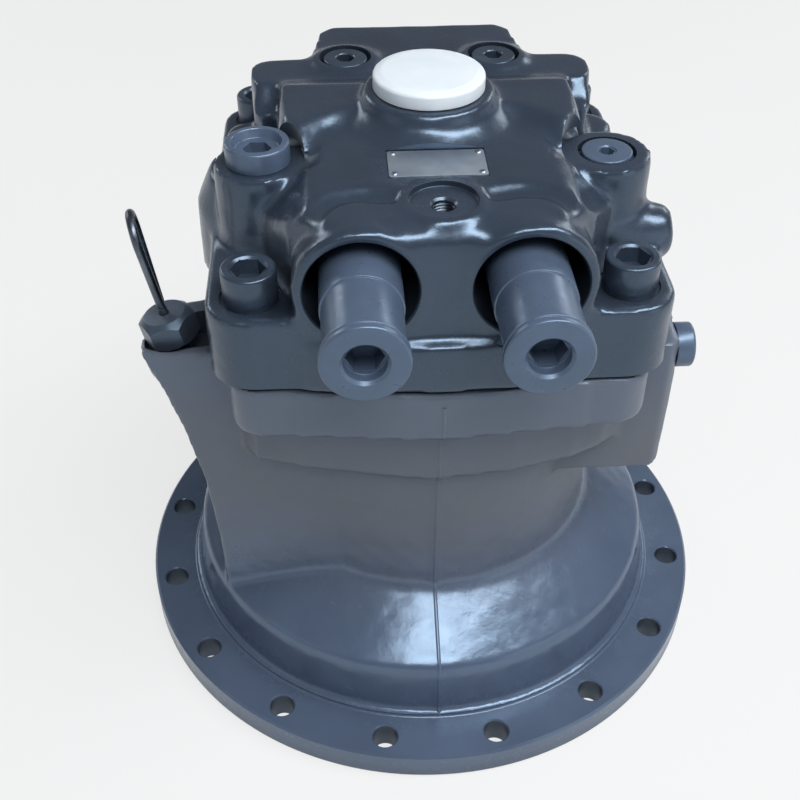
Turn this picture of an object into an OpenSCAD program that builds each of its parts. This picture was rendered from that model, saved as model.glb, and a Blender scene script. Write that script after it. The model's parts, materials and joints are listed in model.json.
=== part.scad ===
// Axial-piston hydraulic swing motor of an excavator, in millimetres.
// The origin is on the drive axis in the flange's mounting face, +Z points up the shaft
// axis to the valve casing, and -Y is the side with the two relief valves.

/* [Flange and bell] */
// Radius of the mounting flange
flange_r = 200; // [192:1:215]
// Thickness of the mounting flange
flange_t = 20; // [16:1:26]
// Distance from the bolt circle to the flange's edge
flange_edge = 15; // [13:0.5:18]
// Radius of one flange bolt hole
flange_hole_r = 8; // [6:0.5:10]
// Number of flange bolt holes
flange_hole_count = 16; // [8:1:20]
// Width of the flange outside the raised ring
flange_width = 35; // [30:1:38]
// Height of the raised ring's top
ring_top = 58; // [54:1:62]
// Thickness of the bell's wall inside the raised ring
bell_wall = 17; // [15:1:27]
// Depth of the bell at its wall
bell_h = 40; // [30:1:42]
// Radius of the shaft hub inside the bell
hub_r = 66; // [60:1:80]
// Height of the hub's lower face above the mounting face
hub_z = 40; // [34:1:42]

/* [Casing] */
// Radius of the round barrel
barrel_r = 115.5; // [113:0.5:118]
// Height at which the cone meets the barrel
cone_top = 76; // [72:1:82]
// Height of the joint face under the valve casing
joint_z = 267; // [265:1:275]
// Height of the square collar under the joint
collar_h = 33; // [28:1:36]
// Half width of the square collar
collar_half = 119; // [118:0.5:124]
// Corner radius of the square collar
collar_corner_r = 22; // [16:1:26]
// How far the collar's front comes forward at its middle
collar_front = 138; // [134:1:142]
// Height of the set-back band under the collar
band_h = 44; // [36:1:50]
// Front of the set-back band at its middle
band_front = 123; // [121:1:128]
// Width of the mould's parting ridge down the front
ridge_w = 9; // [5:1:14]
// Distance of the casing screws from the drive axis, along X and along Y
screw_xy = 102.5; // [101:0.5:105]
// Radius of the casing screw's thread
screw_r = 10; // [8:0.5:10]

/* [Wing with the dipstick] */
// Lean of the dipstick away from the drive axis (degrees)
dipstick_lean = 12; // [10:1:14]
// Distance of the dipstick from the drive axis at its seat, to the left
dipstick_x = 154; // [153:1:158]
// Distance of the dipstick in front of the drive axis
dipstick_y = 57; // [54:1:60]
// Height of the dipstick's seat
dipstick_seat_z = 254; // [250:1:256]
// Radius of the dipstick's hole
dipstick_hole_r = 6; // [4:0.5:7]
// Radius of the dipstick's rod
dipstick_rod_r = 2.5; // [2:0.25:3]
// Width across the flats of the dipstick fitting
fitting_af = 30; // [27:0.5:32]

/* [Drain block] */
// Reach of the drain block to the right of the drive axis
drain_x = 145; // [142:1:150]
// Front face of the drain block
drain_front = 88; // [84:1:92]
// Height of the drain block's lower face
drain_z = 162; // [156:1:170]
// Radius of the drain plug's head
drain_plug_r = 13.5; // [11:0.5:14]

/* [Valve casing] */
// Thickness of the valve casing's corner lugs
lug_h = 46; // [42:1:48]
// Radius of a corner lug
lug_r = 25; // [23:0.5:26]
// Height of the valve casing's flat top
top_z = 366; // [362:1:370]
// Rise of the round port boss above the flat top
port_boss_rise = 16; // [13:1:20]
// Radius of the round port boss in the middle
port_boss_r = 38; // [36:0.5:42]
// Radius of the make-up port's thread
makeup_port_r = 23; // [20:0.5:25]
// Radius of a main port's thread, tapping size of G1
main_port_r = 15.15; // [12:0.05:16]
// Depth of a main port's thread
main_port_depth = 22; // [18:1:26]
// Distance of each main port from the middle plane
main_port_x = 42; // [41:1:44]
// Height of the main ports and their galleries
main_port_z = 316; // [314:1:318]
// Rear face of the valve casing
rear_y = 127; // [125:1:132]
// Radius of the lifting hole's M12 thread
lifting_hole_r = 5.1; // [4:0.1:6]
// Distance of the lifting hole in front of the drive axis
lifting_hole_y = 101; // [99:1:103]
// Distance of the side bosses from the middle plane
side_boss_x = 97; // [95:1:99]
// Height of the side bosses
side_boss_z = 360; // [356:1:364]

/* [Relief valves] */
// Distance of each relief valve from the middle plane
relief_x = 44; // [43:0.5:46]
// Height of the relief valves' axes
relief_z = 331; // [330:0.5:333]
// Front end of the relief valves
relief_front = 189; // [184:1:192]
// Radius of the relief valve's shank
relief_r = 20; // [18:0.5:20.5]
// Radius of the relief valve's front ring
relief_ring_r = 22.5; // [21.5:0.5:24]
// Outer radius of the housing around a relief valve
relief_housing_r = 36.5; // [35:0.5:38]
// Opening travel of a relief poppet
relief_lift = 1.8; // [1:0.1:2.5]

/* [Make-up valves] */
// Distance of each make-up valve from the middle plane
makeup_x = 46; // [45:0.5:47]
// Distance of the make-up valves behind the drive axis
makeup_y = 70; // [68:1:71]
// Radius of the make-up valve's plug
makeup_plug_r = 13.5; // [12:0.5:14]
// Opening travel of a make-up poppet
makeup_lift = 5; // [3:0.5:5]

/* [Rotating group] */
// Tilt of the swash face (degrees)
swash_tilt = 15; // [12:0.5:15.5]
// Number of pistons
piston_count = 9; // [7:2:9]
// Wall between a piston bore and the room of the block's spring
piston_web = 6; // [5:0.5:7]
// Radius of a piston bore
piston_bore_r = 14; // [12:0.5:14.5]
// Running clearance of a piston in its bore
piston_gap = 0.05; // [0.02:0.01:0.08]
// Length of a piston above its ball's centre
piston_len = 70; // [66:1:70]
// Radius of the piston's ball
ball_r = 9; // [8:0.25:9.5]
// Height of the middle of the plane that holds the piston balls
ball_z = 161; // [160:0.5:162]
// Radius of the cylinder block
block_r = 77; // [76:0.5:77.5]
// Height of the cylinder block's lower end
block_z = 184; // [183:0.5:185]
// Thickness of the valve plate
valve_plate_t = 8; // [6:0.5:9]
// Radius of the ball guide's sphere
guide_r = 34; // [33:0.5:35]
// Sole radius of a piston shoe
shoe_r = 16; // [14:0.5:16.5]

/* [Drive shaft] */
// Radius over the teeth of the output spline
spline_r = 22; // [19:0.5:23]
// Number of teeth on the output spline
spline_teeth = 18; // [14:1:22]
// Height of the shaft's lower end
shaft_z = 8; // [4:1:14]
// Radius of the shaft under the oil seal
seal_land_r = 27; // [25.5:0.5:28]
// Radius of the lower bearing's journal
lower_journal_r = 30; // [29:0.5:31]
// Radius of the upper bearing's journal
upper_journal_r = 17.5; // [16:0.5:18]

/* [Bearings] */
// Outer radius of the lower bearing
lower_bearing_r = 52; // [50.5:0.5:54]
// Width of the lower bearing's cup
lower_cup_h = 30; // [28:1:31]
// Outer radius of the upper bearing
upper_bearing_r = 36; // [35.5:0.5:37]
// Width of the upper bearing's cup
upper_cup_h = 24; // [22:1:25]

/* [Parking brake] */
// Thickness of a separator plate
separator_t = 4; // [3.5:0.1:4.2]
// Thickness of a friction plate
friction_t = 3.4; // [3:0.1:3.6]
// Number of friction plates
friction_count = 4; // [2:1:4]
// Radius of the chamber around the brake plates
plate_bore_r = 95.5; // [95:0.25:96.5]
// Radius of the brake piston's bore
brake_bore_r = 104; // [103:0.5:104.5]
// Release travel of the brake piston
brake_travel = 2.5; // [1.5:0.1:3]
// Number of brake springs
brake_spring_count = 10; // [6:1:12]

/* [Fits] */
// Radial running clearance of sliding parts
running_gap = 0.05; // [0.03:0.01:0.08]
// Clearance between parts that move past each other freely
free_gap = 0.3; // [0.25:0.05:0.4]

/* [Hidden] */
$fn = 64;

// A small overlap that joins solids of one piece
join = 0.5;
// Overshoot of a cut past the face it opens
over = 1;

casting_colour = "#434c58";
casing_colour = "#565a62";
steel_colour = "#8d9298";
dark_steel_colour = "#3a4048";
seal_colour = "#1d1f22";

// Radii that follow from the flange, and heights from the joint down
flange_pitch_r = flange_r - flange_edge;
ring_r = flange_r - flange_width;
bell_r = ring_r - bell_wall;
collar_z = joint_z - collar_h;
band_z = collar_z - band_h;
foot_fillet = 8;
barrel_foot = cone_top + foot_fillet;
rim_chamfer = 1.5;
ring_draft = 3.5;
ring_round = 4;

// Rotating group, measured along the normal of the swash face from the ball plane
spring_room_r = 36;
piston_pitch_r = spring_room_r + piston_web + piston_bore_r;
shoe_sole = -11;
shoe_flange_t = 6;
shoe_plate_t = 5;
shoe_plate_r = block_r - 1;
shoe_plate_hole_r = piston_pitch_r - shoe_r - 1.5;
chamber_r = block_r + 3.1;
swash_z = 104;
swash_hole_r = lower_journal_r + 7;
shoe_neck_r = ball_r + 3;
film_gap = 0.1;
guide_top = block_z - 3;
guide_hub_r = guide_r - 2;
shaft_mid_r = 26;
block_bore_r = 24;
block_top = joint_z - valve_plate_t - free_gap;
spring_room_z = block_z + 12;
spring_room_top = spring_room_z + 40;
tooth_r = 3;
tooth_count = 12;
kidney_w = 12;

// Brake stack from its shoulder up
stack_z = 182;
plate_pitch = separator_t + friction_t + 2 * free_gap;
stack_top = stack_z + friction_count * plate_pitch + separator_t;
brake_bore_z = stack_top + 9;
brake_nose_z = stack_top + 0.2;
brake_step_z = brake_bore_z + 3;
brake_top = joint_z - 10;
brake_hole_r = block_r + tooth_r + 1.2;
brake_spring_pitch_r = (brake_hole_r + brake_bore_r) / 2 + 0.4;
brake_pocket_r = 8.5;
brake_pocket_depth = 12;
ear_count = 6;
ear_start = 15;
ear_r = 4.7;

// Seal and bearings
seal_r = 42;
seal_z = hub_z + 6;
seal_h = 12;
lower_seat_z = 66;
bearing_slope = 11;
lower_mid_z = lower_seat_z + 16;
lower_mid_r = (lower_bearing_r + lower_journal_r) / 2;
lower_roller_r = 5;
upper_seat_z = joint_z + 27;
upper_mid_z = upper_seat_z - 13;
upper_mid_r = (upper_bearing_r + upper_journal_r) / 2 + 0.25;
upper_roller_r = 3.8;
shaft_shoulder_z = lower_seat_z + 33;
shaft_top = upper_seat_z - 2;
lower_roller_count = 20;
lower_roller_len = 20;
upper_roller_count = 15;
upper_roller_len = 14;

// Dipstick
dipstick_reach = (dipstick_seat_z - 13) / cos(dipstick_lean);
loop_len = 60;
loop_r = 13;
loop_z = 22;

// Valve casing details
port_boss_z = top_z + port_boss_rise;
lug_z = joint_z + lug_h;
face_y = 128;
body_front = face_y + 1;
housing_y = face_y + 2;
counterbore_r = relief_r + 10;
counterbore_y = face_y - 40;
relief_inner = 50;
relief_seat_y = 58;
seat_len = 14;
relief_bore_r = 13;
makeup_bore_r = 11;
gallery_r = 7;
makeup_seat_z = main_port_z + 16;
shoulder_y = 43;
shoulder_depth = 35;
screw_len = lug_h + 28;
screw_head_r = 1.5 * screw_r;
screw_head_h = 2 * screw_r;
oring_r = 2.4;
oring_pitch_r = brake_bore_r + 5.5;

// Helpers

// A rectangle with round corners, centred on the origin
module rounded_rect(half_x, half_y, r) {
    square([2 * half_x - 2 * r, 2 * half_y], center = true);
    square([2 * half_x, 2 * half_y - 2 * r], center = true);
    for (sx = [-1, 1], sy = [-1, 1])
        translate([sx * (half_x - r), sy * (half_y - r)])
            circle(r);
}

// A cylinder along Y from y0 to y1
module along_y(r, y0, y1, x = 0, z = 0) {
    translate([x, y0, z])
        rotate([-90, 0, 0])
            cylinder(r = r, h = y1 - y0);
}

// A cylinder along X from x0 to x1
module along_x(r, x0, x1, y = 0, z = 0) {
    translate([x0, y, z])
        rotate([0, 90, 0])
            cylinder(r = r, h = x1 - x0);
}

// A hexagon of the given width across its flats
module hexagon(af) {
    circle(r = af / sqrt(3), $fn = 6);
}

// Copies the child round the Z axis
module ring_of(count, start = 0) {
    for (i = [0 : count - 1])
        rotate([0, 0, start + i * 360 / count])
            children();
}

// Copies the child at the four casing screws
module at_screws() {
    for (sx = [-1, 1], sy = [-1, 1])
        translate([sx * screw_xy, sy * screw_xy, 0])
            children();
}

// A flat ring between two radii
module ring(r_out, r_in, h) {
    difference() {
        cylinder(r = r_out, h = h);
        translate([0, 0, -over])
            cylinder(r = r_in, h = h + 2 * over);
    }
}

// Puts the child in the swash frame: its origin is the middle of the ball plane
module on_swash() {
    translate([0, 0, ball_z])
        rotate([swash_tilt, 0, 0])
            children();
}

// Turns the child's Z axis to -Y, at a relief valve on the given side
module on_relief(side) {
    translate([side * relief_x, 0, relief_z])
        rotate([90, 0, 0])
            children();
}

// Puts the child on the dipstick's leaning axis, with the origin at its seat
module on_dipstick() {
    translate([-dipstick_x, -dipstick_y, dipstick_seat_z])
        rotate([0, -dipstick_lean, 0])
            children();
}

// One ring of points of a coil's wire
function coil_ring(mean_r, wire_r, angle, z, sides) = [
    for (k = [0 : sides - 1])
        let (a = k * 360 / sides, r = mean_r + wire_r * cos(a))
            [r * cos(angle), r * sin(angle), z + wire_r * sin(a)]
];

// A closed round coil spring that stands on z = 0 and is h high
module coil(mean_r, wire_r, h, turns, steps = 10, sides = 6) {
    last = turns * steps;
    rise = h - 2 * wire_r;
    rings = [
        for (i = [0 : last])
            coil_ring(mean_r, wire_r, i * 360 / steps, wire_r + rise * i / last, sides)
    ];
    points = [for (r = rings, p = r) p];
    walls = [
        for (i = [0 : last - 1], k = [0 : sides - 1])
            let (n = (k + 1) % sides, a = i * sides, b = a + sides)
                [a + k, b + k, b + n, a + n]
    ];
    first_cap = [for (k = [0 : sides - 1]) k];
    last_cap = [for (k = [sides - 1 : -1 : 0]) last * sides + k];
    polyhedron(points, concat(walls, [first_cap, last_cap]), convexity = 8);
}

// Casing

// Half section of the flange, the ring, the cone and the barrel
function casing_outline() = concat(
    [
        [0, 0],
        [flange_r - rim_chamfer, 0],
        [flange_r, rim_chamfer],
        [flange_r, flange_t - rim_chamfer],
        [flange_r - rim_chamfer, flange_t],
        [ring_r + 2, flange_t],
        [ring_r, flange_t + 3]
    ],
    [
        for (a = [0 : 30 : 90])
            [ring_r - ring_draft - ring_round * (1 - cos(a)), ring_top - ring_round * (1 - sin(a))]
    ],
    [
        for (a = [0 : 15 : 90])
            [barrel_r + foot_fillet * (1 - sin(a)), barrel_foot - foot_fillet * cos(a)]
    ],
    [[barrel_r, joint_z - 2], [0, joint_z - 2]]
);

// Plan of the square collar with its bulged front
module collar_plan() {
    translate([0, (rear_y - face_y) / 2])
        rounded_rect(collar_half, (rear_y + face_y) / 2 + 1, collar_corner_r);
    polygon([
        [-collar_half + 14, -face_y + 30],
        [-80, -face_y - 2],
        [-ridge_w / 2, -collar_front],
        [ridge_w / 2, -collar_front + 0.8],
        [80, -face_y - 2],
        [collar_half - 14, -face_y + 30]
    ]);
}

// Plan of the set-back band under the collar
module band_plan() {
    polygon([
        [-124, -60], [-122, -79], [-108, -98], [-80, -band_front + 15],
        [-33, -band_front + 4.5], [-ridge_w / 2, -band_front],
        [ridge_w / 2, -band_front + 0.8], [44, -band_front + 5], [80, -band_front + 15],
        [101, -98], [114, -88], [117, -60], [104, 70], [60, 112], [-60, 112], [-104, 70]
    ]);
}

// The wing that carries the dipstick, cut from a front view and a plan
module dipstick_wing() {
    intersection() {
        rotate([90, 0, 0])
            linear_extrude(height = 240, center = true)
                polygon([
                    [-138, flange_t], [-140, 110], [-144, 157], [-152, 196], [-161, 228],
                    [-172, 259], [-60, 262], [-40, flange_t]
                ]);
        linear_extrude(height = joint_z)
            polygon([
                [-190, -60], [-186, -72], [-176, -78], [-138, -81], [-55, -99.5],
                [-30, -60], [-30, -20], [-130, -24], [-178, -34], [-188, -44]
            ]);
    }
}

// The block on the right that takes the drain plug
module drain_block() {
    intersection() {
        rotate([90, 0, 0])
            linear_extrude(height = 240, center = true)
                polygon([
                    [0, drain_z], [drain_x - 4, drain_z], [drain_x - 1.5, drain_z + 3],
                    [drain_x, 225], [drain_x + 1, 256], [drain_x - 2, 259], [0, 259]
                ]);
        linear_extrude(height = joint_z)
            polygon([
                [0, -drain_front], [drain_x - 6, -drain_front], [drain_x + 1, -drain_front + 7],
                [drain_x + 1, -26], [drain_x - 12, -14], [0, -14]
            ]);
    }
}

// The ridge that the mould's parting line leaves down the front of the barrel and cone
module parting_ridge() {
    rotate([0, 0, -90])
        rotate([90, 0, 0])
            linear_extrude(height = ridge_w / 2, center = true)
                polygon([
                    [ring_r + 1.2, flange_t - 1],
                    [ring_r - ring_draft + 1.2, ring_top - ring_round],
                    [ring_r - ring_draft - 1, ring_top - 0.5],
                    [ring_r - ring_draft - 4, ring_top + 1],
                    [barrel_r + foot_fillet + 0.7, cone_top + 1.2],
                    [barrel_r + 3.3, cone_top + 3.2],
                    [barrel_r + 1.2, barrel_foot],
                    [barrel_r + 1.2, collar_z + 1],
                    [barrel_r - 6, collar_z + 1],
                    [barrel_r - 6, flange_t - 1]
                ]);
}

// The bell, the coaxial bores and the shaft hole
module casing_bores() {
    difference() {
        rotate_extrude($fn = 128)
            polygon([
                [0, -over], [bell_r, -over], [bell_r, bell_h - 6], [bell_r - 6, bell_h],
                [bell_r - 40, bell_h + 10], [0, bell_h + 10]
            ]);
        translate([0, 0, hub_z])
            cylinder(r = hub_r, h = bell_h + 20 - hub_z);
    }
    translate([0, 0, hub_z - over])
        cylinder(r = seal_r, h = seal_z + seal_h + 1 - hub_z + over);
    translate([0, 0, seal_z - 3])
        cylinder(r = seal_r + 2, h = 2.4);
    translate([0, 0, hub_z])
        cylinder(r = lower_journal_r + 3, h = 60);
    translate([0, 0, lower_seat_z])
        cylinder(r = lower_bearing_r, h = swash_z - lower_seat_z + join);
    translate([0, 0, swash_z])
        cylinder(r = chamber_r, h = stack_z - swash_z + join);
    translate([0, 0, stack_z])
        cylinder(r = plate_bore_r, h = brake_bore_z - stack_z + join);
    translate([0, 0, stack_z])
        ring_of(ear_count, ear_start)
            translate([plate_bore_r, 0, 0])
                cylinder(r = ear_r + free_gap, h = brake_bore_z - stack_z + join);
    translate([0, 0, brake_bore_z])
        cylinder(r = brake_bore_r, h = joint_z - brake_bore_z + over);
}

module casing() {
    color(casing_colour)
    difference() {
        union() {
            rotate_extrude($fn = 128)
                polygon(casing_outline());
            translate([0, 0, collar_z])
                linear_extrude(height = collar_h)
                    collar_plan();
            translate([0, 0, band_z])
                linear_extrude(height = band_h + join)
                    band_plan();
            dipstick_wing();
            drain_block();
            parting_ridge();
        }
        casing_bores();
        // Groove for the seal in the joint face
        translate([0, 0, joint_z - 2 * oring_r])
            ring(oring_pitch_r + oring_r + 0.2, oring_pitch_r - oring_r - 0.2, 2 * oring_r + over);
        // Flange bolt holes, the first half a pitch from the front
        ring_of(flange_hole_count, -90 + 180 / flange_hole_count)
            translate([flange_pitch_r, 0, -over])
                cylinder(r = flange_hole_r, h = flange_t + 2 * over);
        // Tapped holes for the casing screws
        at_screws()
            translate([0, 0, collar_z + 1.5])
                cylinder(r = screw_r + running_gap, h = collar_h);
        // Dipstick hole from its spot face down into the bell
        on_dipstick() {
            cylinder(r = fitting_af / 2 + 5, h = 40);
            translate([0, 0, -230])
                cylinder(r = dipstick_hole_r, h = 231);
            translate([0, 0, -14])
                cylinder(r = 8.1, h = 15);
        }
        // Swash dowel holes in the chamber's floor
        for (sx = [-1, 1])
            translate([sx * 66, 0, swash_z - 8])
                cylinder(r = 4 + running_gap, h = 10);
        // Drain hole through the block into the plate chamber
        along_x(8.1, 90, drain_x + 4, -70, 245);
        // Spot face of the drain plug
        along_x(drain_plug_r + 2, drain_x - 0.8, drain_x + 4, -70, 245);
    }
}

// Valve casing

// The round-cornered slab that covers the joint
module lug_slab() {
    translate([0, 0, joint_z])
        linear_extrude(height = lug_h)
            translate([0, (rear_y - face_y) / 2])
                rounded_rect(screw_xy + lug_r, (rear_y + face_y) / 2, lug_r);
}

// The middle body with drafted sides that rises to the flat top
module middle_body() {
    intersection() {
        rotate([90, 0, 0])
            linear_extrude(height = 2 * face_y + 60, center = true)
                polygon([
                    [-112, joint_z + 2], [-107, 318], [-99, 338], [-82, 353], [-62, top_z],
                    [62, top_z], [82, 353], [99, 338], [107, 318], [112, joint_z + 2]
                ]);
        rotate([90, 0, 90])
            linear_extrude(height = 300, center = true)
                polygon([
                    [-body_front, joint_z + 2], [-body_front, top_z - 9],
                    [-body_front + 4, top_z - 3], [-body_front + 14, top_z], [58, top_z],
                    [58, joint_z + 2]
                ]);
        translate([0, 0, joint_z])
            linear_extrude(height = 130)
                polygon([
                    [-42, -body_front - 1], [42, -body_front - 1], [62, -118], [82, -96],
                    [98, -62], [104, -20], [106, 58], [-106, 58], [-104, -20], [-98, -62],
                    [-82, -96], [-62, -118]
                ]);
    }
}

// The lip of the slab between and below the relief valves
module front_lip() {
    translate([0, 0, joint_z])
        linear_extrude(height = 32)
            polygon([
                [-76, -110], [-74, -131], [-40, -134.5], [0, -136.5], [40, -134.5],
                [74, -131], [76, -110]
            ]);
}

// Round housing of one relief valve with the web under it
module relief_housing(side) {
    // The hump sinks into the flat top towards the back
    translate([side * relief_x, -housing_y, relief_z])
        rotate([-90, 0, 0])
            rotate_extrude()
                polygon([
                    [0, 0], [relief_housing_r - 1.5, 0], [relief_housing_r, 1.5],
                    [relief_housing_r - 3.5, 64], [0, 64]
                ]);
    translate([side * relief_x, -housing_y + 1.5, joint_z])
        translate([-relief_housing_r + 1, 0, 0])
            cube([2 * relief_housing_r - 2, housing_y - 70, relief_z - joint_z - 4]);
}

// Tall round boss on one side, with a foot that flares into the slab
module side_boss(side) {
    boss_r = 25;
    translate([side * side_boss_x, -40, joint_z + 10])
        cylinder(r = boss_r, h = side_boss_z - joint_z - 10);
    translate([side * (side_boss_x - 5), -38, joint_z])
        cylinder(r1 = boss_r + 12, r2 = boss_r + 4, h = 56);
}

// Swelling of the wall round the valve bore in the left side
module left_lobe() {
    translate([-93, -12, joint_z + 13])
        cylinder(r1 = 44, r2 = 27, h = 62);
}

// Flat pad on the slope beside the port boss
module side_pad(side) {
    translate([side * 79, 19, joint_z + 45])
        linear_extrude(height = 42)
            rounded_rect(20, 26, 5);
}

// Low round boss beside the shoulder bar
module corner_boss(side) {
    translate([side * 105, 58, lug_z - 12])
        cylinder(r1 = 22, r2 = 17, h = 26);
}

// Round boss of a cross passage on the right side
module cross_boss() {
    translate([98, -50, joint_z + 46])
        rotate([0, 90, 0])
            rotate_extrude()
                polygon([[0, 0], [22, 0], [15.5, 35], [13, 38], [0, 38.5]]);
}

// Raised bar that crosses the casing behind the port boss
module shoulder_bar() {
    translate([0, shoulder_y + shoulder_depth / 2, joint_z + 20])
        linear_extrude(height = top_z - joint_z - 20)
            rounded_rect(104, shoulder_depth / 2, 10);
}

// Rear block that carries the two main ports
module rear_block() {
    translate([0, 0, joint_z])
        linear_extrude(height = top_z - joint_z)
            polygon([
                [-68, 70], [-67, 86], [-62, rear_y - 9], [-57, rear_y - 2], [-51, rear_y],
                [51, rear_y], [57, rear_y - 2], [62, rear_y - 9], [67, 86], [68, 70]
            ]);
}

// Round boss under the make-up port with its flared skirt
module port_boss() {
    rotate_extrude()
        polygon([
            [0, top_z - 20], [port_boss_r + 14, top_z - 20], [port_boss_r + 10, top_z - 3],
            [port_boss_r + 4, top_z + 1], [port_boss_r + 1, top_z + 6],
            [port_boss_r, port_boss_z - 1], [port_boss_r - 1, port_boss_z], [0, port_boss_z]
        ]);
}

// Round pad under the lifting hole's spot face
module lifting_boss() {
    translate([0, -lifting_hole_y, top_z - 30])
        cylinder(r1 = 29, r2 = 22.5, h = 30);
}

// Boss round one make-up valve
module makeup_boss(side) {
    translate([side * makeup_x, makeup_y, top_z - 30])
        cylinder(r1 = 27, r2 = makeup_plug_r + 8, h = 32);
}

// Passages and bores of the valve casing
module valve_casing_cuts() {
    // Pocket of the upper bearing
    translate([0, 0, joint_z - over])
        cylinder(r = upper_bearing_r, h = upper_seat_z - joint_z + over);
    // Kidney slots over the valve plate
    for (s = [0, 180])
        rotate([0, 0, s - 60])
            translate([0, 0, joint_z - over])
                rotate_extrude(angle = 120)
                    translate([piston_pitch_r - kidney_w / 2, 0])
                        square([kidney_w, main_port_z - joint_z - 4]);
    // Main ports and their galleries
    for (s = [-1, 1]) {
        along_y(main_port_r, rear_y - main_port_depth, rear_y + over, s * main_port_x, main_port_z);
        along_y(12, -40, rear_y - 10, s * main_port_x, main_port_z);
        // Spot face of the main port
        along_y(24, rear_y - 1, rear_y + over, s * main_port_x, main_port_z);
    }
    // Make-up port and the gallery to the make-up valves
    translate([0, 0, port_boss_z - 34])
        cylinder(r = makeup_port_r, h = 34 + over);
    along_y(gallery_r - 1, 0, makeup_y + 2, 0, port_boss_z - 27);
    along_x(gallery_r, -makeup_x, makeup_x, makeup_y, port_boss_z - 27);
    // Relief valve cavities
    for (s = [-1, 1]) {
        along_y(relief_r + running_gap, -housing_y - over, -relief_inner, s * relief_x, relief_z);
        along_y(counterbore_r, -housing_y - over, -counterbore_y, s * relief_x, relief_z);
        // Make-up valve cavities
        translate([s * makeup_x, makeup_y, main_port_z])
            cylinder(r = makeup_bore_r - 3, h = 40);
        translate([s * makeup_x, makeup_y, makeup_seat_z])
            cylinder(r = makeup_bore_r, h = 60);
        translate([s * makeup_x, makeup_y, top_z - 16])
            cylinder(r = makeup_plug_r - 2 + running_gap, h = 40);
        translate([s * makeup_x, makeup_y, top_z - 2])
            cylinder(r = makeup_plug_r + 2.5, h = 40);
    }
    // Casing screws: clearance holes and seats
    at_screws() {
        translate([0, 0, joint_z - over])
            cylinder(r = screw_r + 0.75, h = lug_h + 2 * over);
        translate([0, 0, lug_z - 1.5])
            cylinder(r = screw_head_r + 2, h = 80);
    }
    // Lifting hole with its spot face
    translate([0, -lifting_hole_y, top_z - 26])
        cylinder(r = lifting_hole_r, h = 30);
    translate([0, -lifting_hole_y, top_z - 1.2])
        cylinder(r = 19.5, h = 10);
    // Holes for the plugs of the side bosses
    translate([-side_boss_x, -40, side_boss_z - 24])
        cylinder(r = 15, h = 30);
    translate([side_boss_x, -40, side_boss_z - 20])
        cylinder(r = 16.5, h = 30);
    // Seat of the name plate
    translate([-27, -75, top_z - 0.6])
        cube([54, 30, 4]);
}

module valve_casing() {
    color(casting_colour)
    difference() {
        union() {
            lug_slab();
            middle_body();
            front_lip();
            for (s = [-1, 1]) {
                relief_housing(s);
                side_boss(s);
                makeup_boss(s);
                side_pad(s);
                corner_boss(s);
            }
            left_lobe();
            cross_boss();
            lifting_boss();
            shoulder_bar();
            rear_block();
            port_boss();
        }
        valve_casing_cuts();
    }
}

module casing_seal() {
    color(seal_colour)
    translate([0, 0, joint_z - oring_r - 0.02])
        rotate_extrude($fn = 96)
            translate([oring_pitch_r, 0])
                circle(oring_r - 0.03, $fn = 24);
}

// Socket-head screw that hangs from its head's seat at z = 0
module socket_screw() {
    difference() {
        union() {
            rotate_extrude()
                polygon([
                    [0, 0], [screw_head_r, 0], [screw_head_r, screw_head_h - 1.5],
                    [screw_head_r - 1.5, screw_head_h], [0, screw_head_h]
                ]);
            translate([0, 0, -screw_len])
                cylinder(r = screw_r, h = screw_len + join);
        }
        translate([0, 0, screw_head_h - screw_r])
            linear_extrude(height = screw_r + over)
                hexagon(1.7 * screw_r);
        translate([0, 0, screw_head_h - 1])
            cylinder(r1 = screw_r - 0.4, r2 = screw_r + 1, h = 1.4);
    }
}

module casing_bolts() {
    color(dark_steel_colour)
    at_screws()
        translate([0, 0, lug_z - 1.5])
            socket_screw();
}

module valve_plate() {
    color(steel_colour)
    translate([0, 0, joint_z - valve_plate_t])
        difference() {
            ring(shoe_plate_r - 2, upper_bearing_r + 2, valve_plate_t);
            for (s = [0, 180])
                rotate([0, 0, s - 60])
                    translate([0, 0, -over])
                        rotate_extrude(angle = 120)
                            translate([piston_pitch_r - kidney_w / 2, 0])
                                square([kidney_w, valve_plate_t + 2 * over]);
        }
}

// Wedge ring whose upper face holds the shoe plate at the swash angle
module swash_plate() {
    color(steel_colour)
    difference() {
        translate([0, 0, swash_z])
            cylinder(r = chamber_r - 0.1, h = stack_z - swash_z - 2);
        on_swash()
            translate([-150, -150, shoe_sole - shoe_plate_t])
                cube([300, 300, 200]);
        translate([0, 0, swash_z - over])
            cylinder(r = swash_hole_r, h = 100);
        for (sx = [-1, 1])
            translate([sx * 66, 0, swash_z - over])
                cylinder(r = 4 + running_gap, h = 9);
    }
}

module swash_dowels() {
    color(steel_colour)
    for (sx = [-1, 1])
        translate([sx * 66, 0, swash_z - 8])
            cylinder(r = 4, h = 15.8);
}

module shoe_plate() {
    color("#a8adb3")
    on_swash()
        translate([0, 0, shoe_sole - shoe_plate_t])
            ring(shoe_plate_r, shoe_plate_hole_r, shoe_plate_t - film_gap);
}

module shaft_seal() {
    color(seal_colour)
    translate([0, 0, seal_z])
        rotate_extrude()
            polygon([
                [seal_land_r + running_gap, 3], [seal_land_r + 3, 1], [seal_r - 4, 1],
                [seal_r - 4, 0], [seal_r - running_gap, 0], [seal_r - running_gap, seal_h],
                [seal_land_r + 4, seal_h], [seal_land_r + 4, seal_h - 3],
                [seal_land_r + running_gap, 6]
            ]);
}

module seal_retaining_ring() {
    color(steel_colour)
    translate([0, 0, seal_z - 2.8])
        difference() {
            ring(seal_r + 1.6, seal_r - 3.5, 2);
            rotate([0, 0, -14])
                rotate_extrude(angle = 28)
                    translate([seal_r - 6, -over])
                        square([12, 4]);
        }
}

// Tapered roller bearing, small ends down, about the raceway circle (mid_r, mid_z)

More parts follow.
